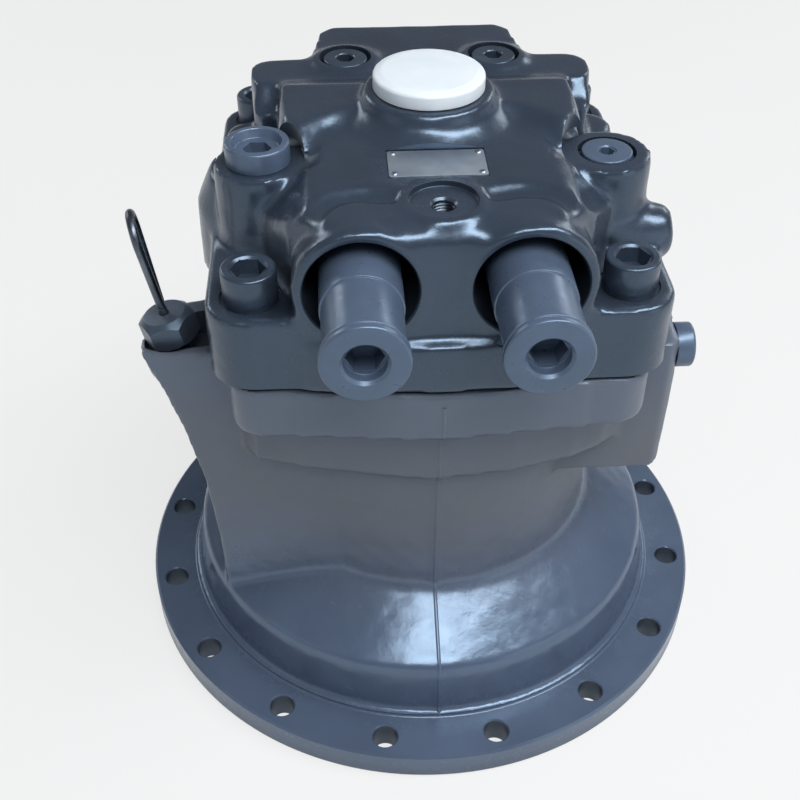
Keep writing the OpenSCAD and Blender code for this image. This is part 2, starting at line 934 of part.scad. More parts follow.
function apex_z(mid_r) = -mid_r / tan(bearing_slope);
function roller_slope(mid_r, roller_r) = asin(roller_r * sin(bearing_slope) / mid_r);
function cup_r(mid_r, roller_r, z) =
    (z - apex_z(mid_r)) * tan(bearing_slope + roller_slope(mid_r, roller_r));
function cone_r(mid_r, roller_r, z) =
    (z - apex_z(mid_r)) * tan(bearing_slope - roller_slope(mid_r, roller_r));

// Outer ring from z0 to z1, heights from the raceway circle
module bearing_cup(mid_r, roller_r, out_r, z0, z1) {
    rotate_extrude($fn = 96)
        polygon([
            [cup_r(mid_r, roller_r, z0) + running_gap, z0],
            [out_r - running_gap, z0],
            [out_r - running_gap, z1],
            [cup_r(mid_r, roller_r, z1) + running_gap, z1]
        ]);
}

// Inner ring from z0 to z1 with a rib behind the rollers' big ends
module bearing_cone(mid_r, roller_r, in_r, z0, z1, rib_z) {
    rotate_extrude($fn = 96)
        polygon([
            [in_r + running_gap, z0],
            [cone_r(mid_r, roller_r, z0) - running_gap, z0],
            [cone_r(mid_r, roller_r, rib_z) - running_gap, rib_z],
            [mid_r + 0.4 * roller_r, rib_z],
            [mid_r + 0.4 * roller_r, z1],
            [in_r + running_gap, z1]
        ]);
}

// Tapered rollers on the raceway circle
module bearing_rollers(mid_r, roller_r, length, count) {
    taper = length / 2 * tan(roller_slope(mid_r, roller_r));
    ring_of(count)
        translate([mid_r, 0, 0])
            rotate([0, bearing_slope, 0])
                translate([0, 0, -length / 2])
                    cylinder(
                        r1 = roller_r - taper - running_gap,
                        r2 = roller_r + taper - running_gap,
                        h = length,
                        $fn = 24
                    );
}

// Cage: two rings past the rollers' ends and a bar between each pair
module bearing_cage(mid_r, roller_r, length, count) {
    half = length / 2 * cos(bearing_slope) + 0.8;
    lean = half * tan(bearing_slope);
    for (s = [-1, 1])
        translate([0, 0, s * (half + 0.75) - 0.75])
            ring(mid_r + s * lean + 0.42 * roller_r + 1.6, mid_r + s * lean + 0.42 * roller_r, 1.5);
    ring_of(count, 180 / count)
        translate([mid_r + 0.42 * roller_r + 0.8, 0, 0])
            rotate([0, bearing_slope, 0])
                translate([0, 0, -half - 0.6])
                    cylinder(r = 0.7, h = 2 * half + 1.2, $fn = 16);
}

module lower_bearing_cup() {
    color(steel_colour)
    translate([0, 0, lower_mid_z])
        bearing_cup(lower_mid_r, lower_roller_r, lower_bearing_r, -16, lower_cup_h - 16);
}

module lower_bearing_cone() {
    color(steel_colour)
    translate([0, 0, lower_mid_z])
        bearing_cone(lower_mid_r, lower_roller_r, lower_journal_r, -15, 17, 12.6);
}

module lower_rollers() {
    color("#a8adb3")
    translate([0, 0, lower_mid_z])
        bearing_rollers(lower_mid_r, lower_roller_r, lower_roller_len, lower_roller_count);
}

module lower_cage() {
    color("#7d6a3c")
    translate([0, 0, lower_mid_z])
        bearing_cage(lower_mid_r, lower_roller_r, lower_roller_len, lower_roller_count);
}

// Puts the child upside down on the upper bearing's raceway circle
module on_upper_bearing() {
    translate([0, 0, upper_mid_z])
        mirror([0, 0, 1])
            children();
}

module upper_bearing_cup() {
    color(steel_colour)
    on_upper_bearing()
        bearing_cup(upper_mid_r, upper_roller_r, upper_bearing_r, -13, upper_cup_h - 13);
}

module upper_bearing_cone() {
    color(steel_colour)
    on_upper_bearing()
        bearing_cone(upper_mid_r, upper_roller_r, upper_journal_r, -10, 13, 9.4);
}

module upper_rollers() {
    color("#a8adb3")
    on_upper_bearing()
        bearing_rollers(upper_mid_r, upper_roller_r, upper_roller_len, upper_roller_count);
}

module upper_cage() {
    color("#7d6a3c")
    on_upper_bearing()
        bearing_cage(upper_mid_r, upper_roller_r, upper_roller_len, upper_roller_count);
}

// Parking brake

module separator_plates() {
    color(steel_colour)
    for (i = [0 : friction_count])
        translate([0, 0, stack_z + i * plate_pitch])
            linear_extrude(height = separator_t)
                difference() {
                    union() {
                        circle(plate_bore_r - free_gap);
                        ring_of(ear_count, ear_start)
                            translate([plate_bore_r, 0])
                                circle(ear_r);
                    }
                    circle(block_r + tooth_r + 0.6);
                }
}

module friction_plates() {
    color("#6e5a42")
    for (i = [0 : friction_count - 1])
        translate([0, 0, stack_z + separator_t + free_gap + i * plate_pitch])
            difference() {
                ring(plate_bore_r - 2.5, block_r + free_gap, friction_t);
                ring_of(tooth_count)
                    translate([block_r, 0, -over])
                        cylinder(r = tooth_r + free_gap, h = friction_t + 2 * over);
            }
}

module brake_piston() {
    color("#7b8087")
    difference() {
        rotate_extrude($fn = 96)
            polygon([
                [brake_hole_r, brake_nose_z],
                [plate_bore_r - free_gap, brake_nose_z],
                [plate_bore_r - free_gap, brake_step_z],
                [brake_bore_r - running_gap, brake_step_z],
                [brake_bore_r - running_gap, brake_top],
                [brake_hole_r, brake_top]
            ]);
        // Groove of the piston's seal
        translate([0, 0, brake_step_z + 10])
            ring(brake_bore_r + over, brake_bore_r - 4, 4.4);
        ring_of(brake_spring_count)
            translate([brake_spring_pitch_r, 0, brake_top - brake_pocket_depth])
                cylinder(r = brake_pocket_r, h = brake_pocket_depth + over);
    }
}

module brake_piston_seals() {
    color(seal_colour)
    translate([0, 0, brake_step_z + 10.2])
        ring(brake_bore_r - running_gap, brake_bore_r - 3.8, 4);
}

module brake_springs() {
    color(steel_colour)
    ring_of(brake_spring_count)
        translate([brake_spring_pitch_r, 0, brake_top - brake_pocket_depth + 0.2])
            coil(5.6, 1.3, brake_pocket_depth + 9.6, 3, 8, 5);
}

// Rotating group

module drive_shaft() {
    color(steel_colour)
    union() {
        difference() {
            translate([0, 0, shaft_z])
                cylinder(r1 = spline_r - 1.5, r2 = spline_r, h = 1.5);
            ring_of(spline_teeth)
                translate([spline_r, 0, shaft_z - over])
                    cylinder(r = 1.9, h = 10);
        }
        difference() {
            translate([0, 0, shaft_z + 1.5])
                cylinder(r = spline_r, h = seal_z - 4 - shaft_z);
            ring_of(spline_teeth)
                translate([spline_r, 0, shaft_z])
                    cylinder(r = 1.9, h = seal_z - 6 - shaft_z);
        }
        rotate_extrude()
            polygon([
                [0, seal_z - 5],
                [spline_r - 2.5, seal_z - 5],
                [seal_land_r, seal_z - 1],
                [seal_land_r, lower_seat_z - 2],
                [lower_journal_r, lower_seat_z - 1],
                [lower_journal_r, shaft_shoulder_z],
                [lower_journal_r + 4, shaft_shoulder_z],
                [lower_journal_r + 4, shaft_shoulder_z + 8],
                [shaft_mid_r, shaft_shoulder_z + 14],
                [shaft_mid_r, guide_top + 2],
                [block_bore_r - running_gap, guide_top + 2],
                [block_bore_r - running_gap, block_top - 4],
                [upper_journal_r, block_top - 1],
                [upper_journal_r, shaft_top - 1.5],
                [upper_journal_r - 1.5, shaft_top],
                [0, shaft_top]
            ]);
    }
}

module cylinder_block() {
    color("#7b8087")
    difference() {
        union() {
            translate([0, 0, block_z])
                cylinder(r = block_r, h = block_top - block_z, $fn = 96);
            ring_of(tooth_count)
                translate([block_r, 0, block_z])
                    cylinder(r = tooth_r, h = stack_top - block_z + 1, $fn = 24);
        }
        translate([0, 0, block_z - over])
            cylinder(r = block_bore_r, h = 100);
        translate([0, 0, block_z - over])
            cylinder(r = shaft_mid_r + running_gap, h = over + 0.2);
        translate([0, 0, spring_room_z])
            cylinder(r = spring_room_r, h = spring_room_top - spring_room_z);
        ring_of(piston_count)
            translate([piston_pitch_r, 0, block_z - over])
                cylinder(r = piston_bore_r, h = block_top - 10 - block_z + over);
        ring_of(piston_count)
            rotate([0, 0, -11])
                translate([0, 0, block_top - 11])
                    rotate_extrude(angle = 22)
                        translate([piston_pitch_r - kidney_w / 2, 0])
                            square([kidney_w, 12]);
        ring_of(3, 20)
            translate([29, 0, block_z - over])
                cylinder(r = 3 + running_gap, h = 14);
    }
}

// One piston with its ball at the origin
module piston() {
    body_r = piston_bore_r - piston_gap;
    difference() {
        union() {
            sphere(r = ball_r, $fn = 48);
            rotate_extrude()
                polygon([
                    [0, 0], [ball_r - 3, 5], [ball_r - 3, 9], [body_r - 1, 15],
                    [body_r, 16], [body_r, piston_len - 1], [body_r - 1, piston_len],
                    [0, piston_len]
                ]);
        }
        translate([0, 0, 24])
            cylinder(r = piston_bore_r - 5, h = piston_len);
        translate([0, 0, -ball_r - over])
            cylinder(r = 1.2, h = ball_r + 30);
    }
}

module pistons() {
    color("#a8adb3")
    for (i = [0 : piston_count - 1]) {
        a = i * 360 / piston_count;
        y = piston_pitch_r * sin(a);
        translate([piston_pitch_r * cos(a), y, ball_z + y * tan(swash_tilt)])
            piston();
    }
}

module piston_shoes() {
    color("#8a7746")
    on_swash()
        for (i = [0 : piston_count - 1]) {
            a = i * 360 / piston_count;
            translate([piston_pitch_r * cos(a), piston_pitch_r * sin(a) / cos(swash_tilt), 0])
                difference() {
                    rotate_extrude()
                        polygon([
                            [0, shoe_sole], [shoe_r - 0.5, shoe_sole], [shoe_r, shoe_sole + 0.5],
                            [shoe_r, shoe_sole + shoe_flange_t], [shoe_neck_r, shoe_sole + shoe_flange_t],
                            [shoe_neck_r, 1], [shoe_neck_r - 1.5, 3.5], [0, 3.5]
                        ]);
                    sphere(r = ball_r + running_gap, $fn = 48);
                    translate([0, 0, shoe_sole - over])
                        cylinder(r = 9, h = over + 0.8);
                    translate([0, 0, shoe_sole])
                        cylinder(r = 1.2, h = 10);
                }
        }
}

module retainer_plate() {
    plate_z = shoe_sole + shoe_flange_t + film_gap;
    color(steel_colour)
    on_swash()
        difference() {
            union() {
                translate([0, 0, plate_z])
                    cylinder(r = shoe_plate_r, h = 4, $fn = 96);
                translate([0, 0, shoe_sole + 0.7])
                    cylinder(r1 = shoe_plate_hole_r - 1.5, r2 = shoe_plate_hole_r, h = plate_z - shoe_sole);
            }
            sphere(r = guide_r + film_gap, $fn = 96);
            for (i = [0 : piston_count - 1]) {
                a = i * 360 / piston_count;
                translate([
                    piston_pitch_r * cos(a), piston_pitch_r * sin(a) / cos(swash_tilt),
                    plate_z - over
                ])
                    cylinder(r = shoe_neck_r + 1.2, h = 6);
                translate([
                    piston_pitch_r * cos(a), piston_pitch_r * sin(a) / cos(swash_tilt),
                    shoe_sole
                ])
                    cylinder(r = shoe_r + free_gap, h = shoe_flange_t);
            }
        }
}

module ball_guide() {
    color(steel_colour)
    difference() {
        union() {
            intersection() {
                translate([0, 0, ball_z])
                    sphere(r = guide_r, $fn = 96);
                translate([0, 0, ball_z - 14])
                    cylinder(r = guide_r + 1, h = 20);
            }
            translate([0, 0, ball_z])
                cylinder(r = guide_hub_r, h = guide_top - ball_z);
        }
        translate([0, 0, ball_z - 20])
            cylinder(r = shaft_mid_r + running_gap, h = 60);
    }
}

module push_pins() {
    color(steel_colour)
    ring_of(3, 20)
        translate([29, 0, guide_top + 0.05])
            cylinder(r = 3, h = spring_room_z + 3 - guide_top);
}

module spring_washers() {
    color(steel_colour)
    for (z = [spring_room_z + 3.1, spring_room_top - 3.1])
        translate([0, 0, z])
            ring(spring_room_r - 0.4, block_bore_r + 1, 3);
}

module block_spring() {
    spring_h = spring_room_top - spring_room_z - 9.4;
    color(steel_colour)
    translate([0, 0, spring_room_z + 6.2])
        coil((spring_room_r + block_bore_r) / 2, 2.4, spring_h, 4, 14, 8);
}

// Relief valves, drawn on an axis that points out of the front

module relief_cartridge() {
    step = 144;
    difference() {
        rotate_extrude()
            polygon([
                [0, relief_inner + 12],
                [relief_r - 1, relief_inner + 12],
                [relief_r, relief_inner + 13],
                [relief_r, step],
                [relief_r + 1, step + 0.6],
                [relief_r + 1, relief_front - 8],
                [relief_ring_r - 0.6, relief_front - 7.4],
                [relief_ring_r, relief_front - 6.8],
                [relief_ring_r, relief_front - 5],
                [relief_ring_r - 1, relief_front - 4.4],
                [relief_ring_r, relief_front - 3.8],
                [relief_ring_r, relief_front - 1.2],
                [relief_ring_r - 1.2, relief_front],
                [0, relief_front]
            ]);
        // Spring chamber
        translate([0, 0, relief_inner])
            cylinder(r = relief_bore_r, h = 100);
        // Key hole: a chamfer, a round mouth and the hexagon behind it
        translate([0, 0, relief_front - 7])
            cylinder(r = 10.8, h = 8);
        translate([0, 0, relief_front - 1.4])
            cylinder(r1 = 10.8, r2 = 12.2, h = 1.41);
        translate([0, 0, relief_front - 18])
            linear_extrude(height = 12)
                hexagon(17);
    }
}

module relief_valve_left() {
    color(casting_colour)
    on_relief(-1)
        relief_cartridge();
}

module relief_valve_right() {
    color(casting_colour)
    on_relief(1)
        relief_cartridge();
}

// Valve seats pressed into the cartridges' inner ends
module relief_seats() {
    color(steel_colour)
    for (s = [-1, 1])
        on_relief(s)
            difference() {
                translate([0, 0, relief_inner + 12])
                    cylinder(r = relief_bore_r - running_gap, h = seat_len);
                translate([0, 0, relief_inner])
                    cylinder(r = 6, h = 60);
                translate([0, 0, relief_inner + 12 + seat_len - 3])
                    cylinder(r1 = 6, r2 = 9, h = 3.01);
            }
}

// Poppet whose cone stands off its seat by the clearance of the ball-tight contact
module relief_poppet() {
    seat_z = relief_inner + 12 + seat_len - 3;
    difference() {
        rotate_extrude()
            polygon([
                [0, seat_z - 4.5], [1.5, seat_z - 4.5], [6 - free_gap, seat_z],
                [9 - free_gap, seat_z + 3], [relief_bore_r - running_gap, seat_z + 4],
                [relief_bore_r - running_gap, seat_z + 22], [0, seat_z + 22]
            ]);
        translate([0, 0, seat_z + 10])
            cylinder(r = 10, h = 20);
    }
}

module relief_poppet_left() {
    color(steel_colour)
    on_relief(-1)
        relief_poppet();
}

module relief_poppet_right() {
    color(steel_colour)
    on_relief(1)
        relief_poppet();
}

module relief_spring() {
    spring_z = relief_inner + 19 + seat_len + 0.1;
    translate([0, 0, spring_z])
        coil(7.8, 1.9, relief_inner + 100 - spring_z - 0.1, 7, 10, 6);
}

module relief_spring_left() {
    color(steel_colour)
    on_relief(-1)
        relief_spring();
}

module relief_spring_right() {
    color(steel_colour)
    on_relief(1)
        relief_spring();
}

// Make-up valves under the two rear plugs

module makeup_plugs() {
    color(dark_steel_colour)
    for (s = [-1, 1])
        translate([s * makeup_x, makeup_y, top_z - 2])
            difference() {
                union() {
                    rotate_extrude()
                        polygon([
                            [0, 0], [makeup_plug_r, 0], [makeup_plug_r, 4.5],
                            [makeup_plug_r - 1, 5.5], [0, 5.5]
                        ]);
                    translate([0, 0, -12])
                        cylinder(r = makeup_plug_r - 2, h = 12 + join);
                }
                translate([0, 0, -4])
                    linear_extrude(height = 12)
                        hexagon(10);
            }
}

module makeup_poppet() {
    translate([0, 0, makeup_seat_z])
        difference() {
            rotate_extrude()
                polygon([
                    [0, 0.05], [makeup_bore_r - running_gap, 0.05],
                    [makeup_bore_r - running_gap, 10], [0, 10]
                ]);
            translate([0, 0, 4])
                cylinder(r = 7.5, h = 10);
        }
}

module makeup_poppet_left() {
    color(steel_colour)
    translate([-makeup_x, makeup_y, 0])
        makeup_poppet();
}

module makeup_poppet_right() {
    color(steel_colour)
    translate([makeup_x, makeup_y, 0])
        makeup_poppet();
}

module makeup_spring() {
    spring_z = makeup_seat_z + 4.1;
    translate([0, 0, spring_z])
        coil(5.8, 1, top_z - 14.1 - spring_z, 4, 8, 5);
}

module makeup_spring_left() {
    color(steel_colour)
    translate([-makeup_x, makeup_y, 0])
        makeup_spring();
}

module makeup_spring_right() {
    color(steel_colour)
    translate([makeup_x, makeup_y, 0])
        makeup_spring();
}

// Plugs of the side bosses

module reaction_valve_plug() {
    color(casting_colour)
    translate([-side_boss_x, -40, side_boss_z])
        difference() {
            union() {
                rotate_extrude()
                    polygon([
                        [0, 0], [18, 0], [18, 10.5], [16.5, 12], [0, 12]
                    ]);
                translate([0, 0, -18])
                    cylinder(r = 15 - running_gap, h = 18 + join);
            }
            translate([0, 0, 7])
                cylinder(r1 = 12, r2 = 14, h = 5.01);
            translate([0, 0, -3])
                linear_extrude(height = 11)
                    hexagon(14);
        }
}

module passage_plug() {
    color(casting_colour)
    translate([side_boss_x, -40, side_boss_z])
        difference() {
            rotate_extrude()
                polygon([
                    [0, -19.9], [13, -19.9], [13, -10], [16.4, -9], [16.4, -5],
                    [14.3, -5], [14.3, -0.4], [13.5, 0.4], [0, 0.4]
                ]);
            translate([0, 0, -7])
                linear_extrude(height = 10)
                    hexagon(8);
        }
}

module drain_plug() {
    color(dark_steel_colour)
    translate([drain_x - 1.8, -70, 245])
        rotate([0, 90, 0])
            difference() {
                union() {
                    rotate_extrude()
                        polygon([
                            [0, 1], [drain_plug_r, 1], [drain_plug_r, 10.5],
                            [drain_plug_r - 1.5, 12], [0, 12]
                        ]);
                    translate([0, 0, -14])
                        cylinder(r = 8, h = 16);
                }
                translate([0, 0, 6])
                    linear_extrude(height = 8)
                        hexagon(10);
            }
}

module name_plate() {
    color("#aeb4bb")
    translate([0, -60, top_z - 0.6])
        difference() {
            linear_extrude(height = 1)
                rounded_rect(26.5, 14, 1.5);
            for (sx = [-1, 1], sy = [-1, 1])
                translate([sx * 23.5, sy * 11, -over])
                    cylinder(r = 1.3, h = 4, $fn = 20);
        }
}

module name_plate_rivets() {
    color("#8d9298")
    for (sx = [-1, 1], sy = [-1, 1])
        translate([sx * 23.5, -60 + sy * 11, top_z - 0.6]) {
            cylinder(r = 1.2, h = 1.2, $fn = 20);
            translate([0, 0, 1.05])
                cylinder(r1 = 2, r2 = 1.4, h = 0.8, $fn = 20);
        }
}

// Dipstick

module dipstick_fitting() {
    color(dark_steel_colour)
    on_dipstick()
        difference() {
            union() {
                translate([0, 0, -12])
                    cylinder(r = 8, h = 13);
                // Hexagon with both ends chamfered round
                intersection() {
                    linear_extrude(height = 18)
                        hexagon(fitting_af);
                    rotate_extrude()
                        polygon([
                            [0, 0], [fitting_af / 2 - 1, 0], [fitting_af / 2 + 3, 3.5],
                            [fitting_af / 2 + 3, 13], [fitting_af / 2 - 2.5, 18], [0, 18]
                        ]);
                }
            }
            translate([0, 0, -20])
                cylinder(r = dipstick_rod_r + running_gap, h = 60);
        }
}

module dipstick_rod() {
    color(steel_colour)
    on_dipstick()
        translate([0, 0, -dipstick_reach])
            cylinder(r = dipstick_rod_r, h = dipstick_reach + loop_z, $fn = 24);
}

// Wire loop that pulls the rod: a half ring and two legs that meet at the rod
module dipstick_loop() {
    wire_r = dipstick_rod_r;
    leg_h = loop_len - loop_r;
    leg_lean = atan((loop_r - wire_r) / leg_h);
    leg_len = leg_h / cos(leg_lean);
    color(steel_colour)
    on_dipstick()
        translate([0, 0, loop_z + 0.02])
            rotate([0, 3, 0])
                rotate([0, 0, 100]) {
                    translate([0, 0, leg_h + wire_r - 0.3])
                        rotate([90, 0, 0])
                            rotate_extrude(angle = 180, $fn = 48)
                                translate([loop_r, 0])
                                    circle(wire_r, $fn = 24);
                    for (s = [-1, 1])
                        translate([s * wire_r, 0, wire_r])
                            rotate([0, s * leg_lean, 0])
                                cylinder(r = wire_r - 0.05, h = leg_len + 0.3, $fn = 24);
                    // The collar that joins the legs
                    cylinder(r = 2 * wire_r + 0.4, h = 2 * wire_r + 1.5, $fn = 24);
                }
}

// Plastic transport cap on the make-up port
module port_cap() {
    cap_r = port_boss_r - 6;
    color("#e9eef2")
    difference() {
        translate([0, 0, port_boss_z + 0.3])
            rotate_extrude($fn = 96)
                polygon([
                    [0, 0], [cap_r, 0], [cap_r, 7.5], [cap_r - 0.7, 9.2], [cap_r - 2.5, 10],
                    [0, 10.8]
                ]);
        translate([0, 0, port_boss_z - 30])
            cylinder(r = 12, h = 36);
    }
    color("#e9eef2")
    translate([0, 0, port_boss_z - 14])
        ring(makeup_port_r - 0.3, makeup_port_r - 3, 15);
}

casing();
valve_casing();
casing_seal();
casing_bolts();
valve_plate();
swash_plate();
swash_dowels();
shoe_plate();
shaft_seal();
seal_retaining_ring();
lower_bearing_cup();
upper_bearing_cup();
separator_plates();
brake_springs();
relief_valve_left();
relief_valve_right();
relief_seats();
relief_spring_left();
relief_spring_right();
relief_poppet_left();
relief_poppet_right();
makeup_plugs();
makeup_spring_left();
makeup_spring_right();
makeup_poppet_left();
makeup_poppet_right();
reaction_valve_plug();
passage_plug();
drain_plug();
name_plate();
name_plate_rivets();
dipstick_fitting();
dipstick_rod();
dipstick_loop();
port_cap();
drive_shaft();
cylinder_block();
pistons();
friction_plates();
ball_guide();
push_pins();
block_spring();
spring_washers();
lower_bearing_cone();
upper_bearing_cone();
lower_rollers();
lower_cage();
upper_rollers();
upper_cage();
piston_shoes();
retainer_plate();
brake_piston();
brake_piston_seals();
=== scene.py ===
# Hydraulic swing motor of an excavator: cast housings, turned valves, screws, cap and dipstick
import json
import math

import bmesh
import bpy
from mathutils import Matrix, Vector
from mathutils.bvhtree import BVHTree


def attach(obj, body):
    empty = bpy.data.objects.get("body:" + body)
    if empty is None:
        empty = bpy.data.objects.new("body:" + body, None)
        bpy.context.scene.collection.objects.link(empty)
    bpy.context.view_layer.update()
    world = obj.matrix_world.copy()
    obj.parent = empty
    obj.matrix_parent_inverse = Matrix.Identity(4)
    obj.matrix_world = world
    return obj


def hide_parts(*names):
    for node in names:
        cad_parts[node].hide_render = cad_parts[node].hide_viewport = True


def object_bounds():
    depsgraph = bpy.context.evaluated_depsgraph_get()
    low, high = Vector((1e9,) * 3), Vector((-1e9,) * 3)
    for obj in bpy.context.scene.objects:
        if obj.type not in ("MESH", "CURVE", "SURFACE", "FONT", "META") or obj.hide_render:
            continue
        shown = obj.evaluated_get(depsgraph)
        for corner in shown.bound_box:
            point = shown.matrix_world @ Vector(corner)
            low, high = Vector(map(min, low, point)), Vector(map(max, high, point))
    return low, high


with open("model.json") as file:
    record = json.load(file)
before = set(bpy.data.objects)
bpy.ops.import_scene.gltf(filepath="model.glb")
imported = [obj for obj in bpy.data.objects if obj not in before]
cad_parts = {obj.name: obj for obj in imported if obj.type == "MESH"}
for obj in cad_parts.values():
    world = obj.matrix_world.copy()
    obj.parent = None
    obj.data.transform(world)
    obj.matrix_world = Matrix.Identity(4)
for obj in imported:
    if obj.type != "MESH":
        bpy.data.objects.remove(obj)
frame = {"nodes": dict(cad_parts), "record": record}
cad_low, cad_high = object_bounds()

MM = 0.001

# Sizes in millimetres, as the solids have them
JOINT_Z = 267
TOP_Z = 366
LUG_SEAT_Z = 311.5
SCREW_XY = 102.5
SCREW_R = 10
HEAD_R = 15
HEAD_H = 20
RELIEF_X = 44
RELIEF_Z = 331
RELIEF_FRONT = 189
PORT_Z = 382
PORT_R = 23
SIDE_BOSS = (97, -40, 360)
MAKEUP = (46, 70)
LIFTING_Y = -101
MAIN_PORT = (42, 316)
DRAIN = (143.2, -70, 245)
DIPSTICK_SEAT = (-154, -57, 254)
DIPSTICK_LEAN = 12
FLANGE_R = 200
FLANGE_T = 20
PITCH_R = 185
HOLE_R = 8
HOLES = 16
PLATE_CENTRE = (0, -60, 365.4)
PLATE_HALF = (26.5, 14)
WIRE_R = 2.5
LOOP_R = 13
LEG_TOP = 49.2
LOOP_Z = 22.02

# The dipstick loop's tilt towards the motor and its turn about the rod, in degrees
LOOP_TILT = 3
LOOP_TURN = 100

# Cast skin: the grid it is drawn on, and how wide and high the mould's slight unevenness is
SKIN_GRID = 2.0
MOULD_WAVE_WIDTH = 20
MOULD_WAVE_HEIGHT = 0.7

# Rounded corners: steps in each, and the longest share of a side that one takes
FILLET_STEPS = 4
FILLET_SHARE = 0.49

# Dust on the castings begins and is full at these heights, and thins out up the collar
DUST_HEIGHTS = (70, 150)
COLLAR_HEIGHTS = (200, 238)

# How far from another wall the painted corner shade reaches
CORNER_SHADE_WIDTH = 28

# Enamel: index of refraction, strength of its mirror and the cool tint of its glints
ENAMEL_IOR = 1.55
ENAMEL_MIRROR = 0.9
ENAMEL_TINT = (0.56, 0.76, 1.0, 1.0)

# Floor half width in metres, and how much of it is plain white to the eye
FLOOR_REACH = 30
WHITE_SHARE = 0.72

# Camera: focal length and width of the picture in pixels, place in metres and directions
FOCAL_PIXELS = 1181
PICTURE_PIXELS = 800
SENSOR_WIDTH = 36
CAMERA_PLACE = (-0.05507, -0.62605, 0.67658)
CAMERA_RIGHT = Vector((0.99816, -0.06050, 0.00259))
CAMERA_UP = Vector((0.03691, 0.64174, 0.76603))
CAMERA_AHEAD = Vector((0.04800, 0.76453, -0.64279))


# Node materials

def linear(hex_colour):
    """A colour written as sRGB hex, in the linear values that shaders take."""
    channels = [int(hex_colour[i:i + 2], 16) / 255 for i in (1, 3, 5)]
    return [c / 12.92 if c <= 0.04045 else ((c + 0.055) / 1.055) ** 2.4 for c in channels] + [1.0]


def per(mm):
    """Texture scale whose pattern repeats about every so many millimetres."""
    return 1 / (mm * MM)


def add(tree, kind, inputs=None, **settings):
    """A node with its settings, and with values or links on its sockets."""
    node = tree.nodes.new(kind)
    for key, value in settings.items():
        setattr(node, key, value)
    for key, value in (inputs or {}).items():
        if isinstance(value, bpy.types.NodeSocket):
            tree.links.new(value, node.inputs[key])
        else:
            node.inputs[key].default_value = value
    return node


def start_material(name):
    """An empty node material, its surface shader and the place on the object in metres."""
    material = bpy.data.materials.new(name)
    material.use_nodes = True
    tree = material.node_tree
    tree.nodes.clear()
    shader = add(tree, "ShaderNodeBsdfPrincipled")
    add(tree, "ShaderNodeOutputMaterial", {"Surface": shader.outputs["BSDF"]})
    place = add(tree, "ShaderNodeTexCoord").outputs["Object"]
    return material, tree, shader, place


def patches(tree, where, mm, low, high, out_low=0.0, out_high=1.0, detail=3.0, rough=0.55):
    """A value in soft blotches about so many millimetres wide, stretched to two ends and clamped."""
    cloud = add(tree, "ShaderNodeTexNoise", {
        "Vector": where, "Scale": per(mm), "Detail": detail, "Roughness": rough}).outputs["Fac"]
    return add(tree, "ShaderNodeMapRange", {0: cloud, 1: low, 2: high, 3: out_low, 4: out_high}).outputs[0]


def uneven_skin(tree, layers):
    """One normal from layers of (where, mm wide, detail, roughness, depth in mm, strength)."""
    normal = None
    for where, mm, detail, rough, depth, strength in layers:
        height = add(tree, "ShaderNodeTexNoise", {
            "Vector": where, "Scale": per(mm), "Detail": detail, "Roughness": rough}).outputs["Fac"]
        inputs = {"Height": height, "Distance": depth * MM, "Strength": strength}
        if normal is not None:
            inputs["Normal"] = normal
        normal = add(tree, "ShaderNodeBump", inputs).outputs["Normal"]
    return normal


def two_tone(tree, shader, share, first, second):
    """Colours the surface with two shades of one finish."""
    inputs = {0: share, 6: linear(first), 7: linear(second)}
    colour = add(tree, "ShaderNodeMix", inputs, data_type="RGBA").outputs[2]
    tree.links.new(colour, shader.inputs["Base Color"])


def give_enamel_gloss(shader):
    shader.inputs["IOR"].default_value = ENAMEL_IOR
    shader.inputs["Specular IOR Level"].default_value = ENAMEL_MIRROR
    shader.inputs["Specular Tint"].default_value = ENAMEL_TINT


